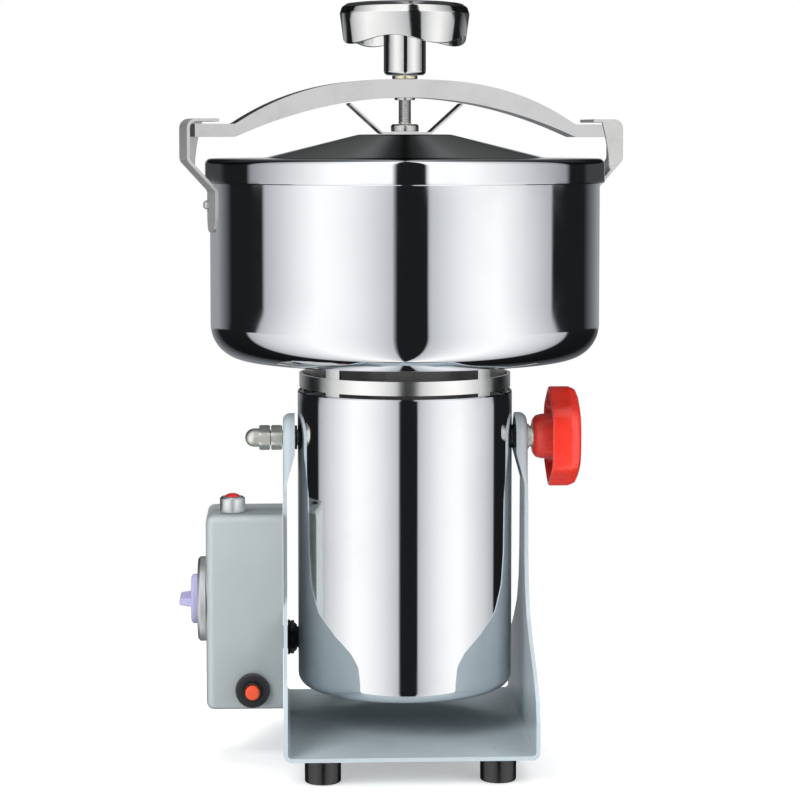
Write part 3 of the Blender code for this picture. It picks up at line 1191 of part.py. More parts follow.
def build():
    clear_scene()
    stand_bracket()
    feet()
    control_box()
    timer()
    pilot_lamp()
    breaker()
    glands_and_conduit()
    pivots()
    lock_knob()
    motor_casing()
    pot()
    motor_frame()
    stator()
    rotor()
    brushes()
    toothed_liner()
    blades()
    clips()
    lid()
    clamp()


build()
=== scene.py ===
"""Looks of the dry grain grinder: finishes, fine surfaces and small fittings around the solid model.

Lengths are in metres. X points right, Y back and Z up, and the origin is on the floor under the pot's axis.
"""

import json
import math

import bmesh
import bpy
from bpy.props import FloatProperty, FloatVectorProperty, IntProperty, PointerProperty
from mathutils import Matrix, Vector


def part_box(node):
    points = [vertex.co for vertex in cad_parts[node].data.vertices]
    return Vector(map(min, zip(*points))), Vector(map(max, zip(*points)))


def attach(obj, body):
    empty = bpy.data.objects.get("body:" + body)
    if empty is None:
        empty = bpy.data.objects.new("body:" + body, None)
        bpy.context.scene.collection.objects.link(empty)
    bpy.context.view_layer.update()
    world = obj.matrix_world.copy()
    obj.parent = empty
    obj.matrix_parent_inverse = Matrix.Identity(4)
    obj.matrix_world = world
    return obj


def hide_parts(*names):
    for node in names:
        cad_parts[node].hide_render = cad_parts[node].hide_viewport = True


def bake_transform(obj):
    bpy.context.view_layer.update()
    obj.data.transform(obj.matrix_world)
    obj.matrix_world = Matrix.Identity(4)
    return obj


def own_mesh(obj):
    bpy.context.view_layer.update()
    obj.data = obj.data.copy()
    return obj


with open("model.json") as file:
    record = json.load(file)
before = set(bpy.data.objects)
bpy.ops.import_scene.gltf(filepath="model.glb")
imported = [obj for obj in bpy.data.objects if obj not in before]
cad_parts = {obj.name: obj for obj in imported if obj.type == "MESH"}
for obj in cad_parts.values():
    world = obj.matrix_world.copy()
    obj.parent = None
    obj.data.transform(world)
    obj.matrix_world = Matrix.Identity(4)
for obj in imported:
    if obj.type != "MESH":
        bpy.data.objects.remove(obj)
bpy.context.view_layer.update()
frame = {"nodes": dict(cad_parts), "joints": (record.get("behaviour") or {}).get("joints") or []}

bl_info = {
    "name": "Grain Grinder Finish",
    "version": (1, 0, 0),
    "blender": (4, 5, 0),
    "location": "3D View > Sidebar > Grinder",
    "description": "Dresses the grain grinder in its finishes and fine surfaces, and lights it",
    "category": "Object",
}


def span(node, axis):
    """Lowest and highest coordinate of a CAD node along one axis."""
    low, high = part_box(node)
    return low[axis], high[axis]


def middle(node, axis):
    """Middle of a CAD node along one axis."""
    return sum(span(node, axis)) / 2


# Places read from the frame
FINE = 128              # sides of a large round piece
ROUND = 64              # sides of a small one
GAP = 0.0003            # clearance between neighbouring pieces
SHEET = 0.0025          # wall of the pressed stand
PIVOT_Z = frame["joints"][0]["pos_m"][2]
POT_LOW, POT_TOP = span("grinding_pot", 2)
POT_RADIUS = span("grinding_pot", 0)[1]
SHELL_LOW, SHELL_TOP = span("motor_shell", 2)
SHELL_RADIUS = span("motor_shell", 0)[1]
LID_LOW, LID_PEAK = span("lid", 2)
LID_RADIUS = span("lid", 0)[1]
BOX_X = span("control_box_cover", 0)
BOX_Y = span("control_box_cover", 1)
BOX_Z = span("control_box_cover", 2)
PLATE_OUT = span("stand_bracket", 0)[1]
BASE_Z, EAR_TOP = span("stand_bracket", 2)
STAND_Y = span("stand_bracket", 1)[1]
# Pieces that don't show in polished steel, whose reflections in the photograph are clean bands
UNMIRRORED = ("lock_knob_moulded", "insert_turned", "lamp_lens_moulded", "lamp_bezel_plated",
              "lid_boss_turned", "lid_stay_bent", "spindle_threaded", "arm_satin_bar", "clamp_knob_plated",
              "washer_turned", "left_clip_satin", "right_clip_satin")


def length_setting(name, description, default, low, high):
    """A size in metres."""
    return FloatProperty(name=name, description=description, default=default, min=low, max=high,
                         unit="LENGTH", subtype="DISTANCE")


def colour_setting(name, description, default):
    """A colour of paint, plastic or metal."""
    return FloatVectorProperty(name=name, description=description, default=default, min=0, max=1, size=3,
                               subtype="COLOR")


class GrinderSizes(bpy.types.PropertyGroup):
    """Sizes of the fine details."""

    sheet: length_setting("Stand sheet", "Wall of the pressed stand", SHEET, 0.001, 0.005)
    edge_round: length_setting("Edge rounding", "Softness of cut sheet edges", 0.0006, 0.0001, 0.002)
    thread_pitch: length_setting("Thread pitch", "Rise of one turn of the clamp screw", 0.00125, 0.0005, 0.003)
    conduit_pitch: length_setting("Conduit pitch", "Length of one ring of the conduit", 0.0036, 0.002, 0.006)
    knurls: IntProperty(name="Knurls", description="Ridges round the breaker's ring nut", default=36,
                        min=12, max=60)
    dial_marks: IntProperty(name="Dial marks", description="Minute marks on the timer dial", default=31,
                            min=5, max=61)


class GrinderColours(bpy.types.PropertyGroup):
    """Colours that a user would change."""

    stand: colour_setting("Stand paint", "Enamel of the stand", (0.49, 0.57, 0.61))
    box: colour_setting("Box paint", "Enamel of the control box", (0.45, 0.50, 0.505))
    lock_knob: colour_setting("Lock knob", "Plastic of the tilt lock knob", (0.93, 0.036, 0.018))
    timer_knob: colour_setting("Timer knob", "Plastic of the timer knob", (0.42, 0.42, 0.66))
    button: colour_setting("Reset button", "Plastic of the breaker's button", (0.85, 0.09, 0.03))
    brass: colour_setting("Brass", "Insert of the lock knob", (0.66, 0.46, 0.20))


def sizes():
    """The sizes as they are set in this scene."""
    return bpy.context.scene.grinder_sizes


def colours():
    """The colours as they are set in this scene."""
    return bpy.context.scene.grinder_colours


# Meshes

def new_object(name, data):
    """Put a mesh, text, lamp or camera into the scene."""
    made = bpy.data.objects.new(name, data)
    bpy.context.scene.collection.objects.link(made)
    return made


def mesh_object(name, bm):
    """Turn a bmesh into an object whose faces look outward."""
    bmesh.ops.recalc_face_normals(bm, faces=bm.faces)
    mesh = bpy.data.meshes.new(name)
    bm.to_mesh(mesh)
    bm.free()
    return new_object(name, mesh)


def new_piece(name, bm, body, finish, stands_for=(), smooth=40, bevel=0.0):
    """Turn a bmesh into a piece with round edges and a finish, which rides on a body."""
    bmesh.ops.remove_doubles(bm, verts=bm.verts, dist=1e-7)
    obj = mesh_object(name, bm)
    if smooth:
        obj.data.shade_smooth()
        obj.data.set_sharp_from_angle(angle=math.radians(smooth))
    if bevel:
        soften = obj.modifiers.new("soft_edges", "BEVEL")
        soften.width = bevel
        soften.segments = 2
        soften.limit_method = "ANGLE"
        soften.angle_limit = math.radians(smooth or 40)
        soften.harden_normals = True
    obj.data.materials.append(finish)
    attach(obj, body)
    if stands_for:
        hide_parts(*stands_for)
    obj.visible_glossy = name not in UNMIRRORED
    return obj


def arc(centre, radius, start, end, steps):
    """Points of an arc between two angles in degrees."""
    points = []
    for i in range(steps + 1):
        angle = math.radians(start + (end - start) * i / steps)
        points.append((centre[0] + radius * math.cos(angle), centre[1] + radius * math.sin(angle)))
    return points


TURNS = {
    "Z": Matrix.Identity(4),
    "X": Matrix.Rotation(math.pi / 2, 4, "Y"),
    "-X": Matrix.Rotation(-math.pi / 2, 4, "Y"),
    "Y": Matrix.Rotation(-math.pi / 2, 4, "X"),
    "-Y": Matrix.Rotation(math.pi / 2, 4, "X"),
}


def placed(place, along="Z"):
    """Where a piece made about Z goes: its place and the axis that it then lies along."""
    return Matrix.Translation(Vector(place)) @ TURNS[along]


def turned(profile, steps=ROUND, matrix=None):
    """A bmesh of a closed outline of (radius, height) turned about Z."""
    bm = bmesh.new()
    verts = [bm.verts.new((r, 0, z)) for r, z in profile]
    pairs = [(i, (i + 1) % len(profile)) for i in range(len(profile))]
    edges = [bm.edges.new((verts[i], verts[j])) for i, j in pairs if profile[i][0] > 0 or profile[j][0] > 0]
    bmesh.ops.spin(bm, geom=verts + edges, cent=(0, 0, 0), axis=(0, 0, 1), dvec=(0, 0, 0),
                   angle=2 * math.pi, steps=steps, use_merge=True)
    bmesh.ops.remove_doubles(bm, verts=bm.verts, dist=1e-7)
    if matrix:
        bm.transform(matrix)
    return bm


def bend(start, corner, end, steps):
    """Points of a curve that leaves and meets its ends toward a corner."""
    shares = [k / steps for k in range(steps + 1)]
    return [tuple(start * (1 - t) ** 2 + corner * 2 * t * (1 - t) + end * t ** 2) for t in shares]


def rounded(profile, radius, steps=4):
    """Round the corners of a closed outline, except on the axis."""
    out = []
    count = len(profile)
    for i, here in enumerate(profile):
        before, after = Vector(profile[i - 1]), Vector(profile[(i + 1) % count])
        point = Vector(here)
        if point.x <= 1e-6 or (before - point).length < 1e-7 or (after - point).length < 1e-7:
            out.append(here)
            continue
        a, b = (before - point), (after - point)
        angle = a.angle(b)
        if angle > math.radians(165):
            out.append(here)
            continue
        reach = min(radius / math.tan(angle / 2), a.length * 0.45, b.length * 0.45)
        start, end = point + a.normalized() * reach, point + b.normalized() * reach
        out += bend(start, point, end, steps)
    return out


def prism(outline, low, high, plane="XY", bm=None, matrix=None):
    """Extrude an outline drawn in the plane XY, YZ or XZ along the third axis."""
    bm = bm or bmesh.new()
    lift = {"XY": lambda a, b, c: (a, b, c),
            "YZ": lambda a, b, c: (c, a, b),
            "XZ": lambda a, b, c: (a, c, b)}[plane]
    move = matrix or Matrix.Identity(4)
    bottom = [bm.verts.new(move @ Vector(lift(a, b, low))) for a, b in outline]
    face = bm.faces.new(bottom)
    grown = bmesh.ops.extrude_face_region(bm, geom=[face])
    top = [v for v in grown["geom"] if isinstance(v, bmesh.types.BMVert)]
    shift = move.to_3x3() @ (Vector(lift(0, 0, high)) - Vector(lift(0, 0, low)))
    bmesh.ops.translate(bm, verts=top, vec=shift)
    return bm


def block(low, high):
    """A box between two corners."""
    outline = [(low[0], low[1]), (high[0], low[1]), (high[0], high[1]), (low[0], high[1])]
    return prism(outline, low[2], high[2])


def rounded_block(low, high, radius, segments=5):
    """A box with round edges."""
    bm = block(low, high)
    bmesh.ops.recalc_face_normals(bm, faces=bm.faces)
    bmesh.ops.bevel(bm, geom=list(bm.edges), offset=radius, segments=segments, affect="EDGES", profile=0.5)
    return bm


def cylinder(radius, low, high, matrix=None, steps=ROUND):
    """A rod along Z, or along the axis of a matrix."""
    return turned([(0, low), (radius, low), (radius, high), (0, high)], steps, matrix)


def hole(radius, matrix, steps=ROUND):
    """A Boolean step that drills through a wall."""
    return "DIFFERENCE", cylinder(radius, -0.01, 0.01, matrix, steps)


def dome_arc(radius, low, rise, steps):
    """Half of a flat dome's outline, without the point on the axis."""
    angles = [i * math.pi / 2 / steps for i in range(steps)]
    return [(radius * math.cos(angle), low + rise * math.sin(angle)) for angle in angles]


def skin(bm, rows):
    """Close a tube over rings of vertices, with a face at each end."""
    for one, two in zip(rows, rows[1:]):
        for i in range(len(one)):
            j = (i + 1) % len(one)
            bm.faces.new((one[i], one[j], two[j], two[i]))
    bm.faces.new(rows[0][::-1])
    bm.faces.new(rows[-1])
    return bm


def join_bm(target, source):
    """Add one bmesh to another."""
    scrap = bpy.data.meshes.new("scrap")
    source.to_mesh(scrap)
    source.free()
    target.from_mesh(scrap)
    bpy.data.meshes.remove(scrap)
    return target


def round_path(path, corner, steps):
    """Replace each inner corner of a path with an arc that touches both of its sides."""
    out = [path[0]]
    for before, here, after in zip(path, path[1:], path[2:]):
        to_before = (Vector(before) - Vector(here)).normalized()
        to_after = (Vector(after) - Vector(here)).normalized()
        half = to_before.angle(to_after) / 2
        setback = corner / math.tan(half)
        centre = Vector(here) + (to_before + to_after).normalized() * (corner / math.sin(half))
        start = Vector(here) + to_before * setback - centre
        end = Vector(here) + to_after * setback - centre
        sweep = start.angle_signed(end)
        for i in range(steps + 1):
            out.append(tuple(centre + Matrix.Rotation(-sweep * i / steps, 2) @ start))
    out.append(path[-1])
    return out


def strip_outline(path, thick, corner, steps=8):
    """The closed outline of a strip bent along a path, with round bends."""
    centre = round_path(path, corner, steps)
    left, right = [], []
    for i, point in enumerate(centre):
        direction = (Vector(centre[min(i + 1, len(centre) - 1)]) - Vector(centre[max(i - 1, 0)])).normalized()
        normal = Vector((-direction.y, direction.x)) * (thick / 2)
        left.append(tuple(Vector(point) + normal))
        right.append(tuple(Vector(point) - normal))
    return left + right[::-1]


def shaped(bm, steps):
    """Apply Boolean steps of (operation, tool bmesh) to a bmesh and return the result."""
    bmesh.ops.remove_doubles(bm, verts=bm.verts, dist=1e-7)
    base = mesh_object("base", bm)
    for operation, other in steps:
        helper = mesh_object("cutter", other)
        change = base.modifiers.new(operation, "BOOLEAN")
        change.operation = operation
        change.solver = "EXACT"
        change.object = helper
        depsgraph = bpy.context.evaluated_depsgraph_get()
        result = bpy.data.meshes.new_from_object(base.evaluated_get(depsgraph))
        base.modifiers.clear()
        base.data = result
        bpy.data.objects.remove(helper, do_unlink=True)
    out = bmesh.new()
    out.from_mesh(base.data)
    bpy.data.objects.remove(base, do_unlink=True)
    return out


def polar(point):
    """Distance from the Z axis, and angle round it."""
    return math.hypot(point.x, point.y), math.atan2(point.y, point.x)


def draw_in(vert, factor):
    """Move a vertex toward the Z axis."""
    vert.co.x *= factor
    vert.co.y *= factor


def valley(point, lobes, turn=0.0):
    """Share from 0 at a lobe or ridge to 1 midway between two of them."""
    angle = math.atan2(point.y, point.x) - math.radians(turn)
    return (1 - math.cos(lobes * angle)) / 2


def lobed(bm, lobes, depth, inner, outer, turn=0.0):
    """Draw the rim of a turned knob in between its lobes, more the farther out it is."""
    for vert in bm.verts:
        radius, _ = polar(vert.co)
        if radius > inner:
            share = (radius - inner) / (outer - inner)
            draw_in(vert, 1 - depth * share * valley(vert.co, lobes, turn))
    return bm


# Materials

def node_group(name, output, inputs=()):
    """A node group with a vector and other inputs; returns it with its input sockets and its result."""
    group = bpy.data.node_groups.new(name, "ShaderNodeTree")
    for label, default, *limits in (("Vector", (0, 0, 0)), *inputs):
        kind = "NodeSocketFloat" if limits else "NodeSocketVector"
        socket = group.interface.new_socket(name=label, in_out="INPUT", socket_type=kind)
        socket.default_value = default
        if limits:
            socket.min_value, socket.max_value = limits
    group.interface.new_socket(name=output, in_out="OUTPUT", socket_type="NodeSocketFloat")
    return group, group.nodes.new("NodeGroupInput").outputs, group.nodes.new("NodeGroupOutput").inputs[0]


def maths(tree, operation, a, b=None):
    """A math node fed by sockets or numbers."""
    node = tree.nodes.new("ShaderNodeMath")
    node.operation = operation
    for socket, value in zip(node.inputs, (a, b)):
        feed(tree, socket, value)
    return node.outputs[0]


def vector_maths(tree, operation, a, b=None, output=0):
    node = tree.nodes.new("ShaderNodeVectorMath")
    node.operation = operation
    feed(tree, node.inputs[0], a)
    feed(tree, node.inputs[1], b)
    return node.outputs[output]


def feed(tree, socket, value):
    if isinstance(value, bpy.types.NodeSocket):
        tree.links.new(value, socket)
    elif value is not None:
        socket.default_value = value


def noise(tree, vector, scale, detail=3.0, rough=0.5):
    node = tree.nodes.new("ShaderNodeTexNoise")
    node.inputs["Detail"].default_value = detail
    node.inputs["Roughness"].default_value = rough
    feed(tree, node.inputs["Scale"], scale)
    feed(tree, node.inputs["Vector"], vector)
    return node.outputs["Fac"]


def remap(tree, value, low, high, to_low, to_high):
    """Map a value from one range to another, without going past either end."""
    node = tree.nodes.new("ShaderNodeMapRange")
    labels = ("Value", "From Min", "From Max", "To Min", "To Max")
    for label, number in zip(labels, (value, low, high, to_low, to_high)):
        feed(tree, node.inputs[label], number)
    return node.outputs[0]


def smudge_group():
    """Faint wiped marks and finger grease, as a factor from 0 to 1."""
    group, given, result = node_group("Smudges", "Factor", [("Scale", 20.0, 1.0, 500.0)])
    broad = noise(group, given["Vector"], given["Scale"], 4.0, 0.6)
    fine = noise(group, given["Vector"], maths(group, "MULTIPLY", given["Scale"], 9.0), 2.0)
    patches = remap(group, broad, 0.45, 0.72, 0.0, 1.0)
    speckle = remap(group, fine, 0.35, 0.75, 0.55, 1.0)
    group.links.new(maths(group, "MULTIPLY", patches, speckle), result)


def peel_group():
    """Height of sprayed paint or moulded plastic: soft dimples with a finer grain in them."""
    group, given, result = node_group("Orange Peel", "Height", [("Scale", 600.0, 10.0, 5000.0),
                                                                ("Grain", 0.3, 0.0, 1.0)])
    soft = noise(group, given["Vector"], given["Scale"], 1.0)
    grain = noise(group, given["Vector"], maths(group, "MULTIPLY", given["Scale"], 6.0), 2.0)
    total = maths(group, "ADD", soft, maths(group, "MULTIPLY", grain, given["Grain"]))
    group.links.new(total, result)


def straight_lines_group():
    """Height of brushing along one direction."""
    group, given, result = node_group("Brushed Lines", "Height", [("Across", (3000, 60, 3000))])
    stretched = vector_maths(group, "MULTIPLY", given["Vector"], given["Across"])
    group.links.new(noise(group, stretched, 1.0, 3.0, 0.65), result)


def turned_lines_group():
    """Height of lathe or spinning marks about an axis through a centre."""
    group, given, result = node_group("Turned Lines", "Height", [("Centre", (0, 0, 0)), ("Axis", (0, 0, 1)),
                                                                 ("Pitch", 4000.0, 100.0, 9000.0)])
    reach = vector_maths(group, "SUBTRACT", given["Vector"], given["Centre"])
    along = vector_maths(group, "DOT_PRODUCT", reach, given["Axis"], 1)
    off_axis = vector_maths(group, "CROSS_PRODUCT", reach, given["Axis"])
    across = vector_maths(group, "LENGTH", off_axis, None, 1)
    place = group.nodes.new("ShaderNodeCombineXYZ")
    group.links.new(maths(group, "MULTIPLY", across, given["Pitch"]), place.inputs[0])
    group.links.new(maths(group, "MULTIPLY", along, given["Pitch"]), place.inputs[1])
    group.links.new(noise(group, place.outputs[0], 1.0, 2.0, 0.6), result)


def dust_group():
    """Where a little dust lies: more in low noise and on faces that look up, as a factor."""
    group, given, result = node_group("Settled Dust", "Factor", [("Normal", (0, 0, 1)),
                                                                 ("Amount", 0.2, 0.0, 1.0)])
    up = group.nodes.new("ShaderNodeSeparateXYZ")
    group.links.new(given["Normal"], up.inputs[0])
    level = remap(group, up.outputs["Z"], 0.3, 1.0, 0.1, 1.0)
    specks = remap(group, noise(group, given["Vector"], 260.0, 5.0, 0.7), 0.5, 0.75, 0.0, 1.0)
    total = maths(group, "MULTIPLY", maths(group, "MULTIPLY", level, specks), given["Amount"])
    group.links.new(total, result)


def make_groups():
    for builder in (smudge_group, peel_group, straight_lines_group, turned_lines_group, dust_group):
        builder()


def use_group(tree, name, vector, **values):
    """Place a node group in a material, feed its inputs and return its output."""
    node = tree.nodes.new("ShaderNodeGroup")
    node.node_tree = bpy.data.node_groups[name]
    feed(tree, node.inputs["Vector"], vector)
    for label, value in values.items():
        feed(tree, node.inputs[label.replace("_", " ")], value)
    return node.outputs[0]


def new_material(name, colour, roughness, metallic, coat=0.0, specular=0.5):
    """A Principled material; returns it with its tree, its shader and its object coordinates."""
    made = bpy.data.materials.new(name)
    made.use_nodes = True
    tree = made.node_tree
    shader = tree.nodes["Principled BSDF"]
    shader.inputs["Base Color"].default_value = (*colour, 1.0)
    shader.inputs["Roughness"].default_value = roughness
    shader.inputs["Metallic"].default_value = metallic
    shader.inputs["Coat Weight"].default_value = coat
    shader.inputs["Coat Roughness"].default_value = 0.12
    shader.inputs["Specular IOR Level"].default_value = specular
    coordinates = tree.nodes.new("ShaderNodeTexCoord")
    return made, tree, shader, coordinates.outputs["Object"]


def adjust(finish, **inputs):
    """Set inputs of a material's shader, with an underscore for each space in a label."""
    for label, value in inputs.items():
        finish.node_tree.nodes["Principled BSDF"].inputs[label.replace("_", " ")].default_value = value


def bump(tree, shader, height, distance):
    node = tree.nodes.new("ShaderNodeBump")
    node.inputs["Distance"].default_value = distance
    tree.links.new(height, node.inputs["Height"])
    tree.links.new(node.outputs[0], shader.inputs["Normal"])


def mix_colour(tree, factor, first, second, blend="MIX"):
    node = tree.nodes.new("ShaderNodeMix")
    node.data_type = "RGBA"
    node.blend_type = blend
    feed(tree, node.inputs[0], factor)
    feed(tree, node.inputs[6], first)
    feed(tree, node.inputs[7], second)
    return node.outputs[2]


def steel(name, colour, roughness, worn, marks=None, depth=2e-6, smudge_scale=22.0):
    """Metal with smudges in its gloss, and turned or brushed marks in its height."""
    made, tree, shader, place = new_material(name, colour, roughness, 1.0)
    factor = use_group(tree, "Smudges", place, Scale=smudge_scale)
    tree.links.new(remap(tree, factor, 0.0, 1.0, roughness, worn), shader.inputs["Roughness"])
    deep = tuple(c * 0.93 for c in colour)
    tree.links.new(mix_colour(tree, factor, (*colour, 1.0), (*deep, 1.0)), shader.inputs["Base Color"])
    if marks:
        kind, values = marks
        bump(tree, shader, use_group(tree, kind, place, **values), depth)
    return made


def turned_steel(name, colour, roughness, worn, centre, axis, pitch, smudge_scale=60.0):
    """Metal with lathe marks about an axis."""
    marks = ("Turned Lines", {"Centre": centre, "Axis": axis, "Pitch": pitch})
    return steel(name, colour, roughness, worn, marks, 2e-6, smudge_scale)


def brushed_steel(name, colour, roughness, worn, across, depth, smudge_scale):
    """Metal brushed one way; across is how fine the marks are along each axis."""
    return steel(name, colour, roughness, worn, ("Brushed Lines", {"Across": across}), depth, smudge_scale)


def polished_steel(name, smudge_scale):
    """The mirror finish of pot, casing and lid."""
    return brushed_steel(name, (0.83, 0.84, 0.86), 0.035, 0.10, (30.0, 30.0, 900.0), 4e-8, smudge_scale)


DUST = (0.5, 0.5, 0.48)


def moulded(name, colour, roughness, scale=900.0, depth=3e-6, coat=0.0, grain=0.3, dust=0.12):
    """Paint, plastic or rubber: a fine skin in its height, uneven gloss and a little dust on top."""
    made, tree, shader, place = new_material(name, colour, roughness, 0.0, coat)
    height = use_group(tree, "Orange Peel", place, Scale=scale, Grain=grain)
    bump(tree, shader, height, depth)
    smudges = use_group(tree, "Smudges", place, Scale=45.0)
    worn = remap(tree, smudges, 0.0, 1.0, roughness, min(1.0, roughness + 0.14))
    tree.links.new(worn, shader.inputs["Roughness"])
    geometry = tree.nodes.new("ShaderNodeNewGeometry")
    factor = use_group(tree, "Settled Dust", place, Normal=geometry.outputs["Normal"], Amount=dust)
    deep = tuple(c * 0.95 for c in colour)
    shade = mix_colour(tree, noise(tree, place, 35.0, 4.0), (*colour, 1.0), (*deep, 1.0))
    tree.links.new(mix_colour(tree, factor, shade, (*DUST, 1.0)), shader.inputs["Base Color"])
    return made


# Stand

PLATE_IN = PLATE_OUT - SHEET
STAND_BEND = 0.005
EAR_ROUND = 0.0045
EAR_RADIUS = 0.0155
EAR_LIP_DEPTH = 0.0051
EAR_LIP_END = PIVOT_Z - 0.028
WAIST = 0.018
WAIST_Z = 0.130
FLARE_Z = 0.074
FOOT_X = PLATE_OUT - 0.024
FOOT_Y = STAND_Y - 0.022
FOOT_RADIUS = 0.0112
FOOT_PIN = 0.0025
STUD_RADIUS = 0.005
GLAND_HOLE = 0.0085
GLAND_RADIUS = 0.0115
CONDUIT_RADIUS = 0.0070
GLAND_Y, GLAND_Z = 0.045, 0.066
MOTOR_GLAND_X, MOTOR_GLAND_Z = middle("motor_conduit_gland", 0), middle("motor_conduit_gland", 2)


def side_outline():
    """Side view of a plate: an ogee from the base up to the round ear."""
    half = STAND_Y
    flare = [(half, BASE_Z), (half, BASE_Z + 0.024), (half - 0.004, BASE_Z + 0.036),
             (half - 0.018, FLARE_Z - 0.010), (half * 0.56, FLARE_Z + 0.004),
             (WAIST + 0.015, FLARE_Z + 0.019), (WAIST + 0.004, FLARE_Z + 0.036), (WAIST, WAIST_Z),
             (EAR_RADIUS, PIVOT_Z)]
    right = round_path(flare, 0.010, 8)[:-1]
    ear = arc((0, PIVOT_Z), EAR_RADIUS, 0, 180, 40)
    return right + ear + [(-y, z) for y, z in reversed(right)]


def ear_edge(radius):
    """An ear's rolled lip, seen from the side."""
    return [(radius, EAR_LIP_END)] + arc((0, PIVOT_Z), radius, 0, 180, 40) + [(-radius, EAR_LIP_END)]


def build_stand():
    sheet = sizes().sheet
    top = EAR_TOP + 0.01
    wall = PLATE_OUT - sheet / 2
    path = [(-wall, top), (-wall, BASE_Z + sheet / 2), (wall, BASE_Z + sheet / 2), (wall, top)]
    section = strip_outline(path, sheet, STAND_BEND - sheet / 2, steps=12)
    steps = [("INTERSECT", prism(side_outline(), -PLATE_OUT - 0.005, PLATE_OUT + 0.005, "YZ"))]
    for side in (-1, 1):
        outer, inner = ear_edge(EAR_RADIUS), ear_edge(EAR_RADIUS - sheet)
        ends = sorted((side * (PLATE_IN - EAR_LIP_DEPTH), side * (PLATE_IN + sheet / 2)))
        steps.append(("UNION", prism(outer + inner[::-1], ends[0], ends[1], "YZ")))
        inside = side * (PLATE_IN - EAR_LIP_DEPTH - 0.001)
        taper = [(inside, EAR_LIP_END - 0.001), (inside, PIVOT_Z - 0.006), (side * PLATE_IN, EAR_LIP_END)]
        steps.append(("DIFFERENCE", prism(taper, -0.03, 0.03, "XZ")))
        steps.append(("DIFFERENCE", ear_corner(side)))
        steps.append(hole(STUD_RADIUS + 2 * GAP, placed((side * PLATE_OUT, 0, PIVOT_Z), "X")))
    steps.append(hole(GLAND_HOLE, placed((-PLATE_OUT, GLAND_Y, GLAND_Z), "X")))
    for x in (-FOOT_X, FOOT_X):
        for y in (-FOOT_Y, FOOT_Y):
            steps.append(hole(FOOT_PIN + GAP, placed((x, y, BASE_Z)), 24))
    bracket = shaped(prism(section, -STAND_Y - 0.001, STAND_Y + 0.001, "XZ"), steps)
    new_piece("stand_enamelled", bracket, "stand", stand_paint(), ["stand_bracket"], 35,
              sizes().edge_round)


def ear_corner(side):
    """What comes off the outer corner of an ear, so that its sheet rolls over into the lip."""
    spare = 0.003
    leg = [(EAR_LIP_END - 0.012 + (PIVOT_Z - EAR_LIP_END + 0.012) * i / 8, 0) for i in range(8)]
    stations = leg + [(PIVOT_Z, 180 * i / 32) for i in range(33)] + [(z, 180) for z, _ in reversed(leg)]
    bm = bmesh.new()
    rows = []
    for z, degrees in stations:
        share = min(1.0, (z - leg[0][0]) / 0.020)
        size = 0.0002 + EAR_ROUND * share * share * (3 - 2 * share)
        section = arc((PLATE_OUT - size, EAR_RADIUS - size), size, 0, 90, 8)
        section += [(PLATE_OUT - size, EAR_RADIUS + spare), (PLATE_OUT + spare, EAR_RADIUS + spare),
                    (PLATE_OUT + spare, EAR_RADIUS - size)]
        angle = math.radians(degrees)
        ring = [(side * x, r * math.cos(angle), z + r * math.sin(angle)) for x, r in section]
        rows.append([bm.verts.new(point) for point in ring])
    return skin(bm, rows)


def stand_paint():
    """The stand's enamel, made once and shared with the foot pins."""
    ready = bpy.data.materials.get("stand_enamel")
    return ready or moulded("stand_enamel", colours().stand, 0.28, 700.0, 2.0e-6, 0.5, 0.25, 0.06)


def hexagon(radius, low, high, chamfer=0.0007, bore=0.0, matrix=None):
    """A nut or a hexagon head, turned and then drawn in to six flats."""
    profile = [(bore, low), (radius - chamfer, low), (radius, low + chamfer), (radius, high - chamfer),
               (radius - chamfer, high), (bore, high)]
    bm = turned(profile, 48)
    flat = radius * math.cos(math.pi / 6)
    for vert in bm.verts:
        reach, angle = polar(vert.co)
        limit = flat / math.cos(angle % (math.pi / 3) - math.pi / 6)
        if reach > limit:
            draw_in(vert, limit / reach)
    if matrix:
        bm.transform(matrix)
    return bm


def threaded(radius, low, high, pitch, depth, matrix=None, sides=32):
    """A screw: a rod whose surface follows one helix."""
    bm = bmesh.new()
    rings = max(4, int((high - low) / pitch * 8))
    rows = []
    for k in range(rings + 1):
        z = low + (high - low) * k / rings
        row = []
        for i in range(sides):
            angle = 2 * math.pi * i / sides
            phase = (z / pitch - i / sides) % 1.0
            dip = depth * abs(2 * phase - 1)
            ease = min(1.0, (z - low) / 0.001, (high - z) / 0.001)
            reach = radius - dip * max(0.0, ease)
            row.append(bm.verts.new((reach * math.cos(angle), reach * math.sin(angle), z)))
        rows.append(row)
    skin(bm, rows)
    if matrix:
        bm.transform(matrix)
    return bm


def build_feet():
    rubber = moulded("foot_rubber_moulded", (0.009, 0.009, 0.008), 0.22, 1200.0, 3e-6, 0.4, 0.4, 0.06)
    painted = stand_paint()
    socket, floor, recess = 0.0062, 0.0095, 0.007
    profile = [(socket, 0), (FOOT_RADIUS, 0), (FOOT_RADIUS, BASE_Z - GAP), (FOOT_PIN, BASE_Z - GAP),
               (FOOT_PIN, floor), (0, floor), (0, recess), (socket, recess)]
    for name, x, y in (("foot_left_front", -1, -1), ("foot_left_back", -1, 1), ("foot_right_front", 1, -1),
                       ("foot_right_back", 1, 1)):
        place = placed((x * FOOT_X, y * FOOT_Y, 0))
        new_piece(name + "_rubber", turned(rounded(profile, 0.0016), ROUND, place), "stand", rubber, [name])
        pin = cylinder(FOOT_PIN - 0.00005, floor + GAP, BASE_Z + sizes().sheet - 0.0001, place, 24)
        new_piece(name + "_stud", pin, "stand", painted)


# Control box

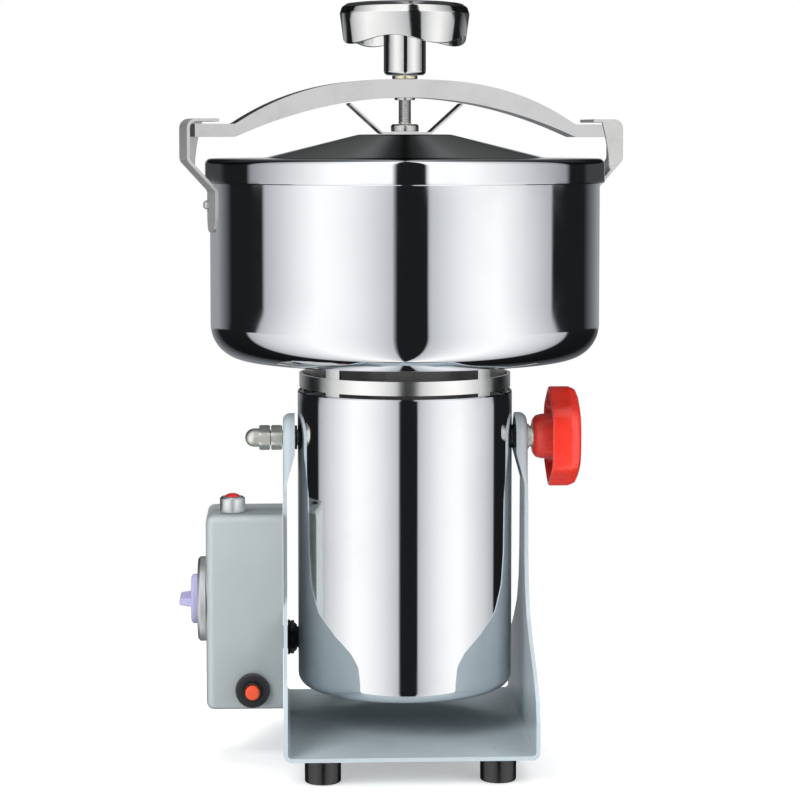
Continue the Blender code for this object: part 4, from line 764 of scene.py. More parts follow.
TIMER_Z = middle("timer_dial", 2)
DIAL_RADIUS = 0.027
DIAL_THICK = 0.0053
DIAL_RING = 0.0015      # how far the dial's rim stands above its face
DIAL_BORE = 0.0036
LAMP_BORE = 0.0053
BREAKER_BORE = 0.0061
DIAL_BASE_X = BOX_X[0] - GAP
LAMP = (middle("pilot_lamp_bezel", 0), middle("pilot_lamp_bezel", 1), BOX_Z[1] + GAP)
BREAKER = (middle("breaker_ring_nut", 0), BOX_Y[0], middle("breaker_ring_nut", 2))
MAINS = (middle("mains_gland", 0), BOX_Y[1], middle("mains_gland", 2))


def build_box():
    paint = moulded("box_enamel", colours().box, 0.30, 800.0, 2.5e-6, 0.45, 0.35, 0.06)
    adjust(paint, Metallic=0.3)
    wall, edge = 0.0018, 0.005
    cover = rounded_block((BOX_X[0], BOX_Y[0], BOX_Z[0]), (BOX_X[1] + 0.02, BOX_Y[1], BOX_Z[1]), edge)
    inside = rounded_block((BOX_X[0] + wall, BOX_Y[0] + wall, BOX_Z[0] + wall),
                           (BOX_X[1] + 0.03, BOX_Y[1] - wall, BOX_Z[1] - wall), edge - wall)
    steps = [("DIFFERENCE", block((BOX_X[1], BOX_Y[0] - 0.01, BOX_Z[0] - 0.01),
                                  (BOX_X[1] + 0.05, BOX_Y[1] + 0.01, BOX_Z[1] + 0.01))),
             ("DIFFERENCE", inside),
             hole(DIAL_BORE, placed((BOX_X[0], 0, TIMER_Z), "X"), 32),
             hole(LAMP_BORE, placed(LAMP), 32),
             hole(BREAKER_BORE, placed(BREAKER, "Y"), 32),
             hole(GLAND_HOLE, placed(MAINS, "Y"), 32)]
    new_piece("box_cover_enamelled", shaped(cover, steps), "stand", paint, ["control_box_cover"],
              30)
    screws = bmesh.new()
    for z in (BOX_Z[0] + 0.030, BOX_Z[1] - 0.014):
        head = turned([(0, 0), (0.0026, 0), (0.0026, 0.0007), (0.0016, 0.0014), (0, 0.0016)], 32)
        slots = block((-0.0017, -0.0003, 0.0010), (0.0017, 0.0003, 0.003))
        cross = block((-0.0003, -0.0017, 0.0010), (0.0003, 0.0017, 0.003))
        head = shaped(head, [("DIFFERENCE", slots), ("DIFFERENCE", cross)])
        head.transform(placed((BOX_X[1] - 0.006, BOX_Y[1], z), "Y"))
        join_bm(screws, head)
    zinc = steel("screw_zinc", (0.58, 0.58, 0.56), 0.28, 0.4, smudge_scale=90.0)
    new_piece("box_screws", screws, "stand", zinc, smooth=30)


def build_timer():
    face = placed((DIAL_BASE_X, 0, TIMER_Z), "-X")
    floor = DIAL_THICK - DIAL_RING
    profile = [(DIAL_BORE, 0), (DIAL_RADIUS, 0), (DIAL_RADIUS, floor), (DIAL_RADIUS - DIAL_RING, DIAL_THICK),
               (DIAL_RADIUS - 0.004, DIAL_THICK), (DIAL_RADIUS - 0.005, floor), (DIAL_BORE, floor)]
    centre = (DIAL_BASE_X, 0, TIMER_Z)
    metal = turned_steel("dial_spun", (0.88, 0.89, 0.89), 0.42, 0.52, centre, (1, 0, 0), 5000.0)
    dial = turned(rounded(profile, 0.0004), FINE, face)
    new_piece("timer_dial_spun", dial, "stand", metal, ["timer_dial"])
    marks = bmesh.new()
    count = sizes().dial_marks
    for i in range(count):
        turn = Matrix.Rotation(math.radians(120 - 300 * i / (count - 1)), 4, "Z")
        start, half = (0.0178, 0.00022) if i % 5 == 0 else (0.0186, 0.00014)
        tick = block((start, -half, floor), (0.0206, half, floor + 0.00006))
        tick.transform(face @ turn)
        join_bm(marks, tick)
    ink = moulded("dial_ink", (0.02, 0.02, 0.025), 0.5, 2000.0, 1e-6, 0.0, 0.3, 0.0)
    new_piece("timer_marks", marks, "stand", ink, smooth=0)
    for minutes in range(0, 31, 5):
        angle = math.radians(120 - 300 * minutes / 30)
        spot = (0.0168 * math.cos(angle), 0.0168 * math.sin(angle), floor + 0.00005)
        number(str(minutes), face @ Matrix.Translation(spot), ink)
    build_timer_knob()


def number(text, face, ink):
    """A printed number that stands on the dial."""
    curve = bpy.data.curves.new("digits_" + text, "FONT")
    curve.body = text
    curve.size = 0.0026
    curve.extrude = 0.00003
    curve.align_x = "CENTER"
    curve.align_y = "CENTER"
    made = new_object("timer_number_" + text, curve)
    made.matrix_world = face @ Matrix.Rotation(math.pi / 2, 4, "Z")
    made.data.materials.append(ink)
    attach(made, "stand")


def build_timer_knob():
    base = DIAL_BASE_X - DIAL_THICK + DIAL_RING - GAP
    face = placed((base, 0, TIMER_Z), "-X")
    low, tall = 0.0056, 0.0073
    radius, half = 0.0158, 0.0029
    profile = [(0, 0), (radius, 0), (radius, low - 0.0014), (radius - 0.0014, low), (0, low)]
    flange = turned(rounded(profile, 0.0008), FINE)
    reach = radius - 0.0008
    grip = rounded_block((-half, -reach, low - 0.002), (half, reach, low + tall), 0.0012, 4)
    for vert in grip.verts:
        if vert.co.z > low:
            share = (vert.co.z - low) / tall
            vert.co.x *= 1 - 0.30 * share
            vert.co.y *= 1 - 0.14 * share
    knob = shaped(flange, [("UNION", grip)])
    knob.transform(face)
    lilac = moulded("knob_lilac", colours().timer_knob, 0.34, 1500.0, 1.5e-6, 0.1, 0.2, 0.05)
    adjust(lilac, Subsurface_Weight=0.15, Subsurface_Scale=0.002)
    new_piece("timer_knob_moulded", knob, "timer_knob", lilac, ["timer_knob"], 35)
    pointer = block((-0.0004, -0.0128, low + 0.0072), (0.0004, -0.006, low + 0.00738))
    pointer.transform(face)
    ink = moulded("pointer_ink", (0.85, 0.85, 0.85), 0.5, dust=0.0)
    new_piece("timer_pointer", pointer, "timer_knob", ink, smooth=0)


def build_lamp():
    place = placed(LAMP)
    radius, height, lens, bore = 0.008, 0.0098, 0.0046, 0.0032
    seat = height - 0.002
    profile = [(bore, -0.004), (lens, -0.004), (lens, 0), (radius, 0), (radius, height - 0.0012),
               (radius - 0.0012, height), (lens + GAP, height), (lens + GAP, seat), (bore, seat)]
    chrome = steel("bezel_satin", (0.82, 0.85, 0.85), 0.36, 0.45, smudge_scale=80.0)
    new_piece("lamp_bezel_plated", turned(rounded(profile, 0.0004), FINE, place), "stand", chrome,
              ["pilot_lamp_bezel"])
    rise = 0.0020
    dome = [(0, seat + GAP), (lens, seat + GAP)] + dome_arc(lens, height, rise, 12) + [(0, height + rise)]
    made, tree, shader, coordinates = new_material("lens_red", (0.75, 0.012, 0.012), 0.08, 0.0, 0.5)
    shader.inputs["Transmission Weight"].default_value = 0.35
    facets = use_group(tree, "Turned Lines", coordinates, Centre=LAMP, Axis=(0, 0, 1), Pitch=900.0)
    bump(tree, shader, facets, 2e-5)
    new_piece("lamp_lens_moulded", turned(dome, ROUND, place), "stand", made, ["pilot_lamp_lens"])


def build_breaker():
    place = placed(BREAKER, "-Y")
    neck, nut, thick = 0.0058, 0.0109, 0.0048
    black = moulded("breaker_black", (0.018, 0.018, 0.020), 0.38, 1500.0, 2e-6, 0.1, 0.3, 0.15)
    profile = [(neck + GAP, GAP), (nut, GAP), (nut, thick - 0.001), (nut - 0.001, thick), (neck + GAP, thick)]
    knurls = sizes().knurls
    ring = turned(rounded(profile, 0.0005), knurls * 6)
    for vert in ring.verts:
        if polar(vert.co)[0] > nut - 0.0004 and 0.0008 < vert.co.z < thick - 0.0004:
            draw_in(vert, 1 - 0.03 * valley(vert.co, knurls))
    ring.transform(place)
    new_piece("breaker_nut_knurled", ring, "stand", black, ["breaker_ring_nut"], 25)
    bore, root, end = 0.0048, -0.002, 0.0072
    collar = rounded([(bore, root), (neck, root), (neck, end), (bore, end)], 0.0004)
    new_piece("breaker_neck", turned(collar, ROUND, place), "stand", black, ["breaker_body"])
    orange = moulded("button_orange", colours().button, 0.35, 1500.0, 2e-6, 0.2, 0.2, 0.06)
    tip = 0.0112
    button = rounded([(0, 0), (0.0045, 0), (0.0045, tip - 0.0012), (0.0036, tip), (0, tip - 0.0002)], 0.0006)
    new_piece("button_moulded", turned(button, ROUND, place), "reset_button", orange, ["reset_button"])


def build_mains_gland():
    black = moulded("gland_black", (0.02, 0.02, 0.021), 0.42, 1500.0, 3e-6, 0.0, 0.3, 0.2)
    dome_nut(MAINS, "Y", GLAND_RADIUS, 0.014, 0.0042, black, "stand", ["mains_gland"], "mains_gland_moulded")


def dome_nut(spot, along, radius, reach, bore, finish, body, nodes, name, seat=GAP):
    """A cable gland: washer, hexagon nut and ribbed dome."""
    place = placed(spot, along)
    base = seat + 0.002
    start = base + (reach - seat) * 0.38
    outline = [(bore, -0.005), (radius - 0.004, -0.005), (radius - 0.004, seat), (radius, seat),
               (radius, base - 0.0006), (radius - 0.001, base), (bore, base)]
    shape = turned(rounded(outline, 0.0003), ROUND)
    join_bm(shape, hexagon(radius - 0.0002, base, start, 0.0006, bore))
    dome = [(bore, start), (radius - 0.0018, start), (radius - 0.0020, start + (reach - start) * 0.4),
            (radius - 0.0030, start + (reach - start) * 0.8), (bore + 0.0012, reach), (bore, reach)]
    ribbed = turned(rounded(dome, 0.0006), 96)
    for vert in ribbed.verts:
        if polar(vert.co)[0] > radius - 0.0032:
            draw_in(vert, 1 - 0.035 * valley(vert.co, 16))
    join_bm(shape, ribbed)
    shape.transform(place)
    new_piece(name, shape, body, finish, nodes, 30)


# Pivots and lock knob

def build_pivots():
    axis = (0, 0, PIVOT_Z)
    zinc = turned_steel("pivot_zinc", (0.88, 0.89, 0.82), 0.38, 0.5, axis, (1, 0, 0), 3500.0)
    cast = moulded("spacer_cast", (0.06, 0.06, 0.065), 0.5, 900.0, 8e-6, 0.0, 0.6, 0.1)
    adjust(cast, Metallic=0.7)
    left, right = placed(axis, "-X"), placed(axis, "X")
    inner, outer = STUD_RADIUS + GAP, 0.00765
    spacer = rounded([(inner, SHELL_RADIUS + GAP), (outer, SHELL_RADIUS + GAP), (outer, PLATE_IN - GAP),
                      (inner, PLATE_IN - GAP)], 0.0005)
    for name, matrix in (("left", left), ("right", right)):
        new_piece(name + "_spacer_turned", turned(spacer, ROUND, matrix), "head", cast,
                  [name + "_pivot_spacer"])
    tip = -span("left_cap_nut", 0)[0]
    nut_low = PLATE_OUT + GAP
    nut_high = nut_low + 0.0072
    nut_radius, chamfer = 0.008, 0.0008
    nut = hexagon(nut_radius, nut_low, nut_high, chamfer, STUD_RADIUS, left)
    new_piece("left_nut_zinc", nut, "head", zinc, ["left_hex_nut"], 30)
    cap_low = nut_high + 2 * GAP
    cap_high = cap_low + 0.007
    cap = hexagon(nut_radius, cap_low, cap_high, chamfer, 0.0, left)
    dome_radius, dome_low = 0.0059, cap_high + 0.003
    dome = [(0, cap_high - 0.001), (dome_radius, cap_high - 0.001)]
    dome += dome_arc(dome_radius, dome_low, tip - dome_low, 16) + [(0, tip)]
    join_bm(cap, turned(dome, ROUND, left))
    new_piece("left_cap_zinc", cap, "head", zinc, ["left_cap_nut"], 30)
    head_radius, face = 0.009, SHELL_RADIUS - 0.0022
    shank = [(0, face - 0.004), (head_radius, face - 0.004), (head_radius, face), (STUD_RADIUS, face),
             (STUD_RADIUS, PLATE_IN), (0, PLATE_IN)]
    right_end = span("right_pivot_stud", 0)[1]
    for name, matrix, end in (("left", left, cap_low + 0.003), ("right", right, right_end)):
        stud = turned(shank, ROUND, matrix)
        join_bm(stud, threaded(STUD_RADIUS, PLATE_IN - 0.0005, end, 0.0015, 0.0006, matrix))
        new_piece(name + "_stud_threaded", stud, "head", zinc, [name + "_pivot_stud"], 50)


def build_lock_knob():
    axis = (0, 0, PIVOT_Z)
    out = placed(axis, "X")
    zinc = turned_steel("washer_zinc", (0.86, 0.86, 0.80), 0.36, 0.48, axis, (1, 0, 0), 5000.0)
    flat = span("lock_flat_washer", 0)
    bore = STUD_RADIUS + GAP
    ring = rounded([(bore, flat[0]), (0.008, flat[0]), (0.008, flat[1]), (bore, flat[1])], 0.0003)
    new_piece("flat_washer_zinc", turned(ring, ROUND, out), "lock_washers", zinc, ["lock_flat_washer"])
    spring = span("lock_spring_washer", 0)
    coil = turned([(bore, spring[0]), (0.0068, spring[0]), (0.0068, spring[1]), (bore, spring[1])], 72, out)
    gap = block((-0.0003, 0.004, 0.9 * spring[0]), (0.0003, 0.009, 1.1 * spring[1]))
    gap.transform(out @ Matrix.Rotation(0.6, 4, "Z"))
    coil = shaped(coil, [("DIFFERENCE", gap)])
    new_piece("spring_washer_zinc", coil, "lock_washers", zinc, ["lock_spring_washer"], 30)
    start, end = span("tilt_lock_knob", 0)
    hub_end = start + 0.0105
    hub, rim, wall, insert = 0.01435, 0.032, 0.003, 0.0075
    inside, ceiling = rim - wall, end - wall
    insert_end = ceiling - 0.001
    profile = [(insert + GAP, start), (hub - 0.004, start), (hub - 0.001, start + 0.002),
               (hub, start + 0.006), (hub, ceiling), (inside - 0.002, ceiling - 0.001),
               (inside, ceiling - 0.004), (inside, hub_end), (rim, hub_end), (rim, end - 0.006),
               (rim - 0.0018, end - 0.0018), (rim - 0.006, end), (0, end), (0, insert_end + GAP),
               (insert + GAP, insert_end + GAP)]
    knob = lobed(turned(rounded(profile, 0.0030, 6), FINE + 64), 6, 0.075, hub + 0.003, rim)
    ribs = [rib(hub - 0.001, rim - wall * 0.6, hub_end + 0.005, ceiling + 0.001, 60 * i) for i in range(6)]
    knob = shaped(knob, [("UNION", each) for each in ribs])
    knob.transform(out)
    red = moulded("lock_knob_red", colours().lock_knob, 0.24, 1100.0, 2e-6, 0.5, 0.2, 0.05)
    new_piece("lock_knob_moulded", knob, "lock_knob", red, ["tilt_lock_knob"], 35)
    brass = turned_steel("insert_brass", colours().brass, 0.3, 0.42, axis, (1, 0, 0), 4000.0)
    face = start + 0.0005
    tube = rounded([(bore, face), (insert, face), (insert, insert_end), (bore, insert_end)], 0.0003)
    new_piece("insert_turned", turned(tube, ROUND, out), "lock_knob", brass, ["lock_knob_insert"])


def rib(inner, outer, low, high, degrees):
    """A thin web between a knob's hub and its rim."""
    bm = block((inner, -0.0008, low), (outer, 0.0008, high))
    bm.transform(Matrix.Rotation(math.radians(degrees), 4, "Z"))
    return bm


# Motor casing

SHELL_WALL = 0.0013


def build_casing():
    corner = 0.008
    centre = (SHELL_RADIUS - corner, SHELL_LOW + corner)
    outline = [(0, SHELL_LOW)] + arc(centre, corner, -90, 0, 14)
    outline += [(SHELL_RADIUS, SHELL_TOP - 0.0008), (SHELL_RADIUS - 0.0005, SHELL_TOP),
                (SHELL_RADIUS - SHELL_WALL, SHELL_TOP)]
    outline += arc(centre, corner - SHELL_WALL, 0, -90, 14) + [(0, SHELL_LOW + SHELL_WALL)]
    steps = [("DIFFERENCE", cylinder(STUD_RADIUS + GAP, -0.09, 0.09, placed((0, 0, PIVOT_Z), "X"))),
             ("DIFFERENCE", cylinder(GLAND_HOLE, 0.04, 0.09, placed((MOTOR_GLAND_X, 0, MOTOR_GLAND_Z), "Y"))),
             ("DIFFERENCE", vent_slots())]
    shell = shaped(turned(outline, 192), steps)
    new_piece("motor_shell_polished", shell, "head", polished_steel("shell_polished", 14.0), ["motor_shell"],
              30)
    build_collar()
    cast_alloy = moulded("bell_cast", (0.22, 0.22, 0.215), 0.5, 800.0, 1.2e-5, 0.0, 0.8, 0.08)
    adjust(cast_alloy, Metallic=0.4)
    under_pot = POT_LOW - GAP
    radius = SHELL_RADIUS - 0.0213
    flange, under = 0.0645, SHELL_TOP - 0.006
    profile = [(0, under), (flange, under), (flange, under + 0.0012),
               (radius + 0.002, SHELL_TOP - 0.004), (radius, SHELL_TOP), (radius, under_pot - 0.001),
               (radius - 0.001, under_pot), (0, under_pot)]
    lug = block((-0.0145, -radius - 0.004, SHELL_TOP - 0.005), (0.0025, 0, under_pot - 0.003))
    bell = shaped(turned(rounded(profile, 0.0006), FINE), [("UNION", lug)])
    new_piece("top_bell_cast", bell, "head", cast_alloy, bevel=0.0006)
    for node in ("motor_top_bell", "motor_bottom_bracket"):
        dress(node, cast_alloy)


def vent_slots():
    """Cutters for the eight air slots in the casing's floor."""
    bm = bmesh.new()
    for i in range(8):
        turn = Matrix.Rotation(math.radians(45 * i + 22.5), 4, "Z")
        outline = arc((0.047, 0), 0.003, -90, 90, 10) + arc((0.023, 0), 0.003, 90, 270, 10)
        prism(outline, SHELL_LOW - 0.01, SHELL_LOW + 0.01, "XY", bm, turn)
    return bm


def build_collar():
    """The neck between casing and pot: a ring carried on four posts, with slots between them."""
    low, top = span("neck_collar", 2)
    ring_low, ring_high = SHELL_TOP + 0.0023, SHELL_TOP + 0.0110
    outer = SHELL_RADIUS - SHELL_WALL - GAP
    inner, band = outer - 0.0016, 0.0005
    profile = [(inner, low), (outer, low), (outer, ring_low), (outer + band, ring_low),
               (outer + band, ring_high), (outer, ring_high), (outer, top), (inner, top)]
    cutters = bmesh.new()
    half = math.degrees(0.0115 / 2 / outer)
    for quarter in range(4):
        start = 90 * quarter - 45 + half
        end = start + 90 - 2 * half
        wedge = arc((0, 0), outer + 0.01, start, end, 16) + arc((0, 0), inner - 0.01, end, start, 16)
        prism(wedge, SHELL_TOP - 0.0056, ring_low, "XY", cutters)
        prism(wedge, ring_high, top + 0.01, "XY", cutters)
    collar = shaped(turned(profile, 192), [("DIFFERENCE", cutters)])
    satin = turned_steel("collar_satin", (0.88, 0.88, 0.86), 0.17, 0.24, (0, 0, 0), (0, 0, 1), 5000.0, 30.0)
    new_piece("neck_collar_satin", collar, "head", satin, ["neck_collar"], 30)


def dress(node, finish):
    """Give a CAD node that stays in sight its finish."""
    frame["nodes"][node].data.materials.clear()
    frame["nodes"][node].data.materials.append(finish)


# Conduit

def smooth_route(points, steps):
    """Points of a smooth curve through the given ones."""
    ends = [Vector(points[0]) * 2 - Vector(points[1])] + [Vector(p) for p in points]
    ends += [Vector(points[-1]) * 2 - Vector(points[-2])]
    out = []
    for i in range(1, len(ends) - 2):
        a, b, c, d = ends[i - 1:i + 3]
        for k in range(steps):
            t = k / steps
            out.append(0.5 * (2 * b + (c - a) * t + (2 * a - 5 * b + 4 * c - d) * t * t
                              + (3 * b - a - 3 * c + d) * t ** 3))
    out.append(ends[-2])
    return out


def build_conduit():
    black = moulded("conduit_black", (0.016, 0.016, 0.017), 0.38, 1500.0, 2e-6, 0.0, 0.3, 0.22)
    surface = math.sqrt(SHELL_RADIUS ** 2 - MOTOR_GLAND_X ** 2)
    reach = PLATE_IN - SHELL_RADIUS - 0.0005
    mouth = -PLATE_IN + reach
    route = [(x, GLAND_Y, GLAND_Z) for x in (-PLATE_OUT, mouth - 0.002, mouth + 0.002)]
    route += [(mouth + 0.005, GLAND_Y + 0.001, GLAND_Z - 0.0005), (-0.055, 0.056, 0.061),
              (-0.043, 0.076, 0.050), (-0.020, 0.097, 0.040), (0.008, 0.110, 0.042), (0.027, 0.113, 0.058),
              (0.027, 0.106, 0.078)]
    route += [(MOTOR_GLAND_X, surface + y, MOTOR_GLAND_Z) for y in (0.026, 0.017, 0.008, -0.004)]
    hose = corrugated(smooth_route(route, 60), CONDUIT_RADIUS, sizes().conduit_pitch)
    obj = mesh_object("conduit_corrugated", hose)
    obj.data.shade_smooth()
    obj.data.materials.append(black)
    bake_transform(obj)
    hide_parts("conduit")
    bore = CONDUIT_RADIUS + GAP
    dome_nut((-PLATE_IN, GLAND_Y, GLAND_Z), "X", GLAND_RADIUS, reach, bore, black, "stand",
             ["stand_conduit_gland"], "stand_gland_moulded")
    dome_nut((MOTOR_GLAND_X, surface, MOTOR_GLAND_Z), "Y", GLAND_RADIUS, 0.012, bore, black, "head",
             ["motor_conduit_gland"], "motor_gland_moulded", SHELL_RADIUS - surface + GAP)


def corrugated(points, radius, pitch):
    """A ribbed hose along a route, resampled evenly, without twist."""
    sides = 28
    lengths = [0.0]
    for a, b in zip(points, points[1:]):
        lengths.append(lengths[-1] + (b - a).length)
    total = lengths[-1]
    count = int(total / pitch) * 8
    bm = bmesh.new()
    rows = []
    normal = Vector((0, 0, 1))
    index = 0
    for k in range(count + 1):
        reach = total * k / count
        while index < len(points) - 2 and lengths[index + 1] < reach:
            index += 1
        share = (reach - lengths[index]) / max(1e-9, lengths[index + 1] - lengths[index])
        place = points[index].lerp(points[index + 1], share)
        tangent = (points[index + 1] - points[index]).normalized()
        normal = (normal - tangent * normal.dot(tangent)).normalized()
        side = tangent.cross(normal)
        wave = 0.5 - 0.5 * math.cos(2 * math.pi * reach / pitch)
        size = radius - 0.0011 * (1 - min(1.0, wave * 1.5))
        angles = [2 * math.pi * i / sides for i in range(sides)]
        ring = [place + (normal * math.cos(angle) + side * math.sin(angle)) * size for angle in angles]
        rows.append([bm.verts.new(point) for point in ring])
    return skin(bm, rows)


# Pot and hooks

HOOK_TURN = math.radians(13.0)
CLIP_THICK = 0.002
CLIP_HALF = 0.013
CLIP_REACH = POT_RADIUS + 0.0192
CLIP_MOUTH = POT_RADIUS - 0.0011
CLIP_TOP = span("left_hook_clip", 2)[1]
CLIP_ELBOW = POT_TOP + 0.0035
CLIP_LOW = POT_TOP - 0.0415
RIVET_Z = POT_TOP - 0.0245
RIVET_Y = -0.007


def build_pot():
    wall, corner, spigot = 0.0018, 0.022, 0.0203
    centre = (POT_RADIUS - corner, POT_LOW + corner)
    lip = 0.0005
    outline = [(spigot, POT_LOW)] + arc(centre, corner, -90, 0, 28)
    outline += [(POT_RADIUS, POT_TOP - lip), (POT_RADIUS - lip, POT_TOP), (POT_RADIUS - wall + lip, POT_TOP),
                (POT_RADIUS - wall, POT_TOP - lip)]
    outline += arc(centre, corner - wall, 0, -90, 28) + [(spigot, POT_LOW + wall)]
    mirror = polished_steel("pot_mirror", 9.0)
    new_piece("pot_polished", turned(outline, 256), "head", mirror, ["grinding_pot"], 30)
    build_clips()


def build_clips():
    satin = brushed_steel("clip_satin", (0.53, 0.525, 0.52), 0.34, 0.44, (2500.0, 2500.0, 60.0), 1.2e-6, 60.0)
    adjust(satin, Metallic=0.65)
    top = CLIP_TOP - CLIP_THICK / 2
    tab, post = POT_RADIUS + GAP + CLIP_THICK / 2, CLIP_REACH - CLIP_THICK / 2
    path = [(tab, CLIP_LOW), (tab, POT_TOP - 0.0155), (post, CLIP_ELBOW), (post, top), (CLIP_MOUTH, top)]
    for name, degrees in (("right", 0), ("left", 180)):
        turn = Matrix.Rotation(HOOK_TURN + math.radians(degrees), 4, "Z")
        clip = prism(strip_outline(path, CLIP_THICK, 0.0050, 10), -CLIP_HALF, CLIP_HALF, "XZ")
        corner = CLIP_HALF * 0.75
        front = arc((-CLIP_HALF + corner, CLIP_LOW + corner), corner, 180, 270, 14)
        front += arc((CLIP_HALF - corner, CLIP_LOW + corner), corner, 270, 360, 14)
        front += [(CLIP_HALF, CLIP_TOP + 0.01), (-CLIP_HALF, CLIP_TOP + 0.01)]
        stop = prism(stop_outline(post, top), -CLIP_HALF, -CLIP_HALF + CLIP_THICK, "XZ")
        clip = shaped(clip, [("INTERSECT", prism(front, CLIP_MOUTH - 0.01, CLIP_REACH + 0.01, "YZ")),
                             ("UNION", stop)])
        hug(clip)
        face = tab + CLIP_THICK / 2
        shank, head = 0.0017, 0.00285
        rivet = [(0, tab - 0.004), (shank, tab - 0.004), (shank, face - 0.0005), (head, face - 0.0002),
                 (head, face + 0.0012), (0.0022, face + 0.0024), (0.0010, face + 0.0030), (0, face + 0.0030)]
        join_bm(clip, turned(rounded(rivet, 0.0004), 40, placed((0, RIVET_Y, RIVET_Z), "X")))
        clip.transform(turn)
        new_piece(name + "_clip_satin", clip, "head", satin, [name + "_hook_clip"], 30, 0.0003)


def hug(clip):
    """Bend the lower end of a clip to the pot's round wall."""
    for i in range(-3, 4):
        geometry = list(clip.verts) + list(clip.edges) + list(clip.faces)
        bmesh.ops.bisect_plane(clip, geom=geometry, plane_co=(0, i * 0.0035, 0), plane_no=(0, 1, 0))
    for vert in clip.verts:
        share = (CLIP_ELBOW - vert.co.z) / (CLIP_ELBOW - POT_TOP + 0.0155)
        vert.co.x -= (POT_RADIUS - math.sqrt(POT_RADIUS ** 2 - vert.co.y ** 2)) * min(1.0, max(0.0, share))


def stop_outline(post, top):
    """Side view of the flange that stops the arm, with its curved free edge."""
    foot_z = CLIP_ELBOW - 0.0075
    foot_x = post - 0.0075 * (post - POT_RADIUS) / 0.019
    wide, narrow = CLIP_REACH - 0.0147, CLIP_REACH - 0.0095
    curve = bend(Vector((wide, top)), Vector((wide + 0.0042, CLIP_ELBOW + 0.012)),
                 Vector((narrow, CLIP_ELBOW - 0.004)), 10)
    return [(foot_x, foot_z), (post, CLIP_ELBOW), (post, top - 0.003), (post - 0.001, top - 0.001),
            (post - 0.003, top)] + curve


# Lid

def build_lid():
    wall, shoulder = 0.0015, 0.0038
    top = POT_TOP + 0.0044
    cone, cone_top, peak = LID_RADIUS - 0.0362, 0.0295, LID_PEAK
    outline = [(LID_RADIUS - wall, LID_LOW), (LID_RADIUS - 0.0004, LID_LOW), (LID_RADIUS, LID_LOW + 0.0005)]
    centre, blend = (LID_RADIUS - shoulder, top - shoulder), 0.0010
    outline += arc(centre, shoulder, 0, 90, 14)
    outline += [(cone + 0.004, top), (cone, top + 0.0001), (cone - 0.004, top + blend),
                (cone_top + 0.004, peak - blend), (cone_top, peak - 0.0001), (cone_top - 0.004, peak),
                (0, peak), (0, peak - wall), (cone_top - 0.004, peak - wall),
                (cone_top + 0.003, peak - blend - wall), (cone - 0.005, top + blend - wall),
                (cone + 0.003, top - wall)]
    outline += arc(centre, shoulder - wall, 90, 0, 14)
    finish = polished_steel("lid_mirror", 11.0)
    softer_above(finish, top + 0.0003, 0.05)
    new_piece("lid_spun", turned(outline, 256), "lid", finish, ["lid"], 30)
    dress("lid_gasket", moulded("gasket_silicone", (0.68, 0.68, 0.66), 0.5, 900.0))
    satin = turned_steel("boss_turned", (0.62, 0.62, 0.60), 0.22, 0.34, (0, 0, peak), (0, 0, 1), 4500.0)
    low, high = span("lid_boss", 2)
    radius = span("lid_boss", 0)[1]
    socket, floor = 0.0032, low + 0.002
    profile = [(0, low), (radius, low), (radius, high - 0.001), (radius - 0.001, high), (socket, high),
               (socket, floor), (0, floor)]
    boss = turned(rounded(profile, 0.0004), FINE)
    new_piece("lid_boss_turned", boss, "lid", satin, ["lid_boss"])
    build_stay()


def build_stay():
    """The bent leaf spring between lid and arm, made in its bent shape; the real one flattens as the arm drops."""
    thick = 0.0012
    low, top = span("lid_stay", 2)
    flat, tips = low + thick / 2, top - thick / 2
    path = [(-0.037, tips), (-0.016, flat), (0.016, flat), (0.037, tips)]
    stay = prism(strip_outline(path, thick, 0.0025, 12), -0.005, 0.005, "XZ")
    stay.transform(Matrix.Rotation(HOOK_TURN, 4, "Z"))
    spring = brushed_steel("stay_satin", (0.60, 0.60, 0.58), 0.2, 0.32, (60.0, 2500.0, 2500.0), 1e-6, 80.0)
    obj = new_piece("lid_stay_bent", stay, "lid", spring, ["lid_stay"], 30, 0.0002)
    subdivide(obj)
    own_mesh(obj)


def softer_above(finish, height, extra):
    """Roughen a finish above a height, as on a cone that was polished less than its rim."""
    tree = finish.node_tree
    shader = tree.nodes["Principled BSDF"]
    axes = tree.nodes.new("ShaderNodeSeparateXYZ")
    tree.links.new(tree.nodes.new("ShaderNodeTexCoord").outputs["Object"], axes.inputs[0])
    step = remap(tree, axes.outputs[2], height, height + 0.0008, 0.0, extra)
    polish = shader.inputs["Roughness"].links[0].from_socket
    tree.links.new(maths(tree, "ADD", polish, step), shader.inputs["Roughness"])


def subdivide(obj):
    """Cut the long faces of a bent strip into shorter ones."""
    bm = bmesh.new()
    bm.from_mesh(obj.data)
    long = [edge for edge in bm.edges if edge.calc_length() > 0.008]
    bmesh.ops.subdivide_edges(bm, edges=long, cuts=6, use_grid_fill=True)
    bm.to_mesh(obj.data)
    bm.free()


# Clamp

ARM_SPAN = CLIP_REACH - 0.0058
ARM_BOW = ARM_SPAN - 0.0255
ARM_TOP = span("clamp_arm", 2)[1]
ARM_END = CLIP_TOP - 0.0033
ARM_THICK = 0.0115
ARM_END_THICK = 0.0081
KNOB_TOP = span("clamp_knob", 2)[1]


def arm_section(x):
    """Heights of the arm's two faces at a distance from its middle."""
    share = min(1.0, abs(x) / ARM_BOW)
    under_mid, under_end = ARM_TOP - ARM_THICK, ARM_END - ARM_END_THICK
    return (ARM_TOP - (ARM_TOP - ARM_END) * share ** 2.6, under_mid - (under_mid - under_end) * share ** 2)


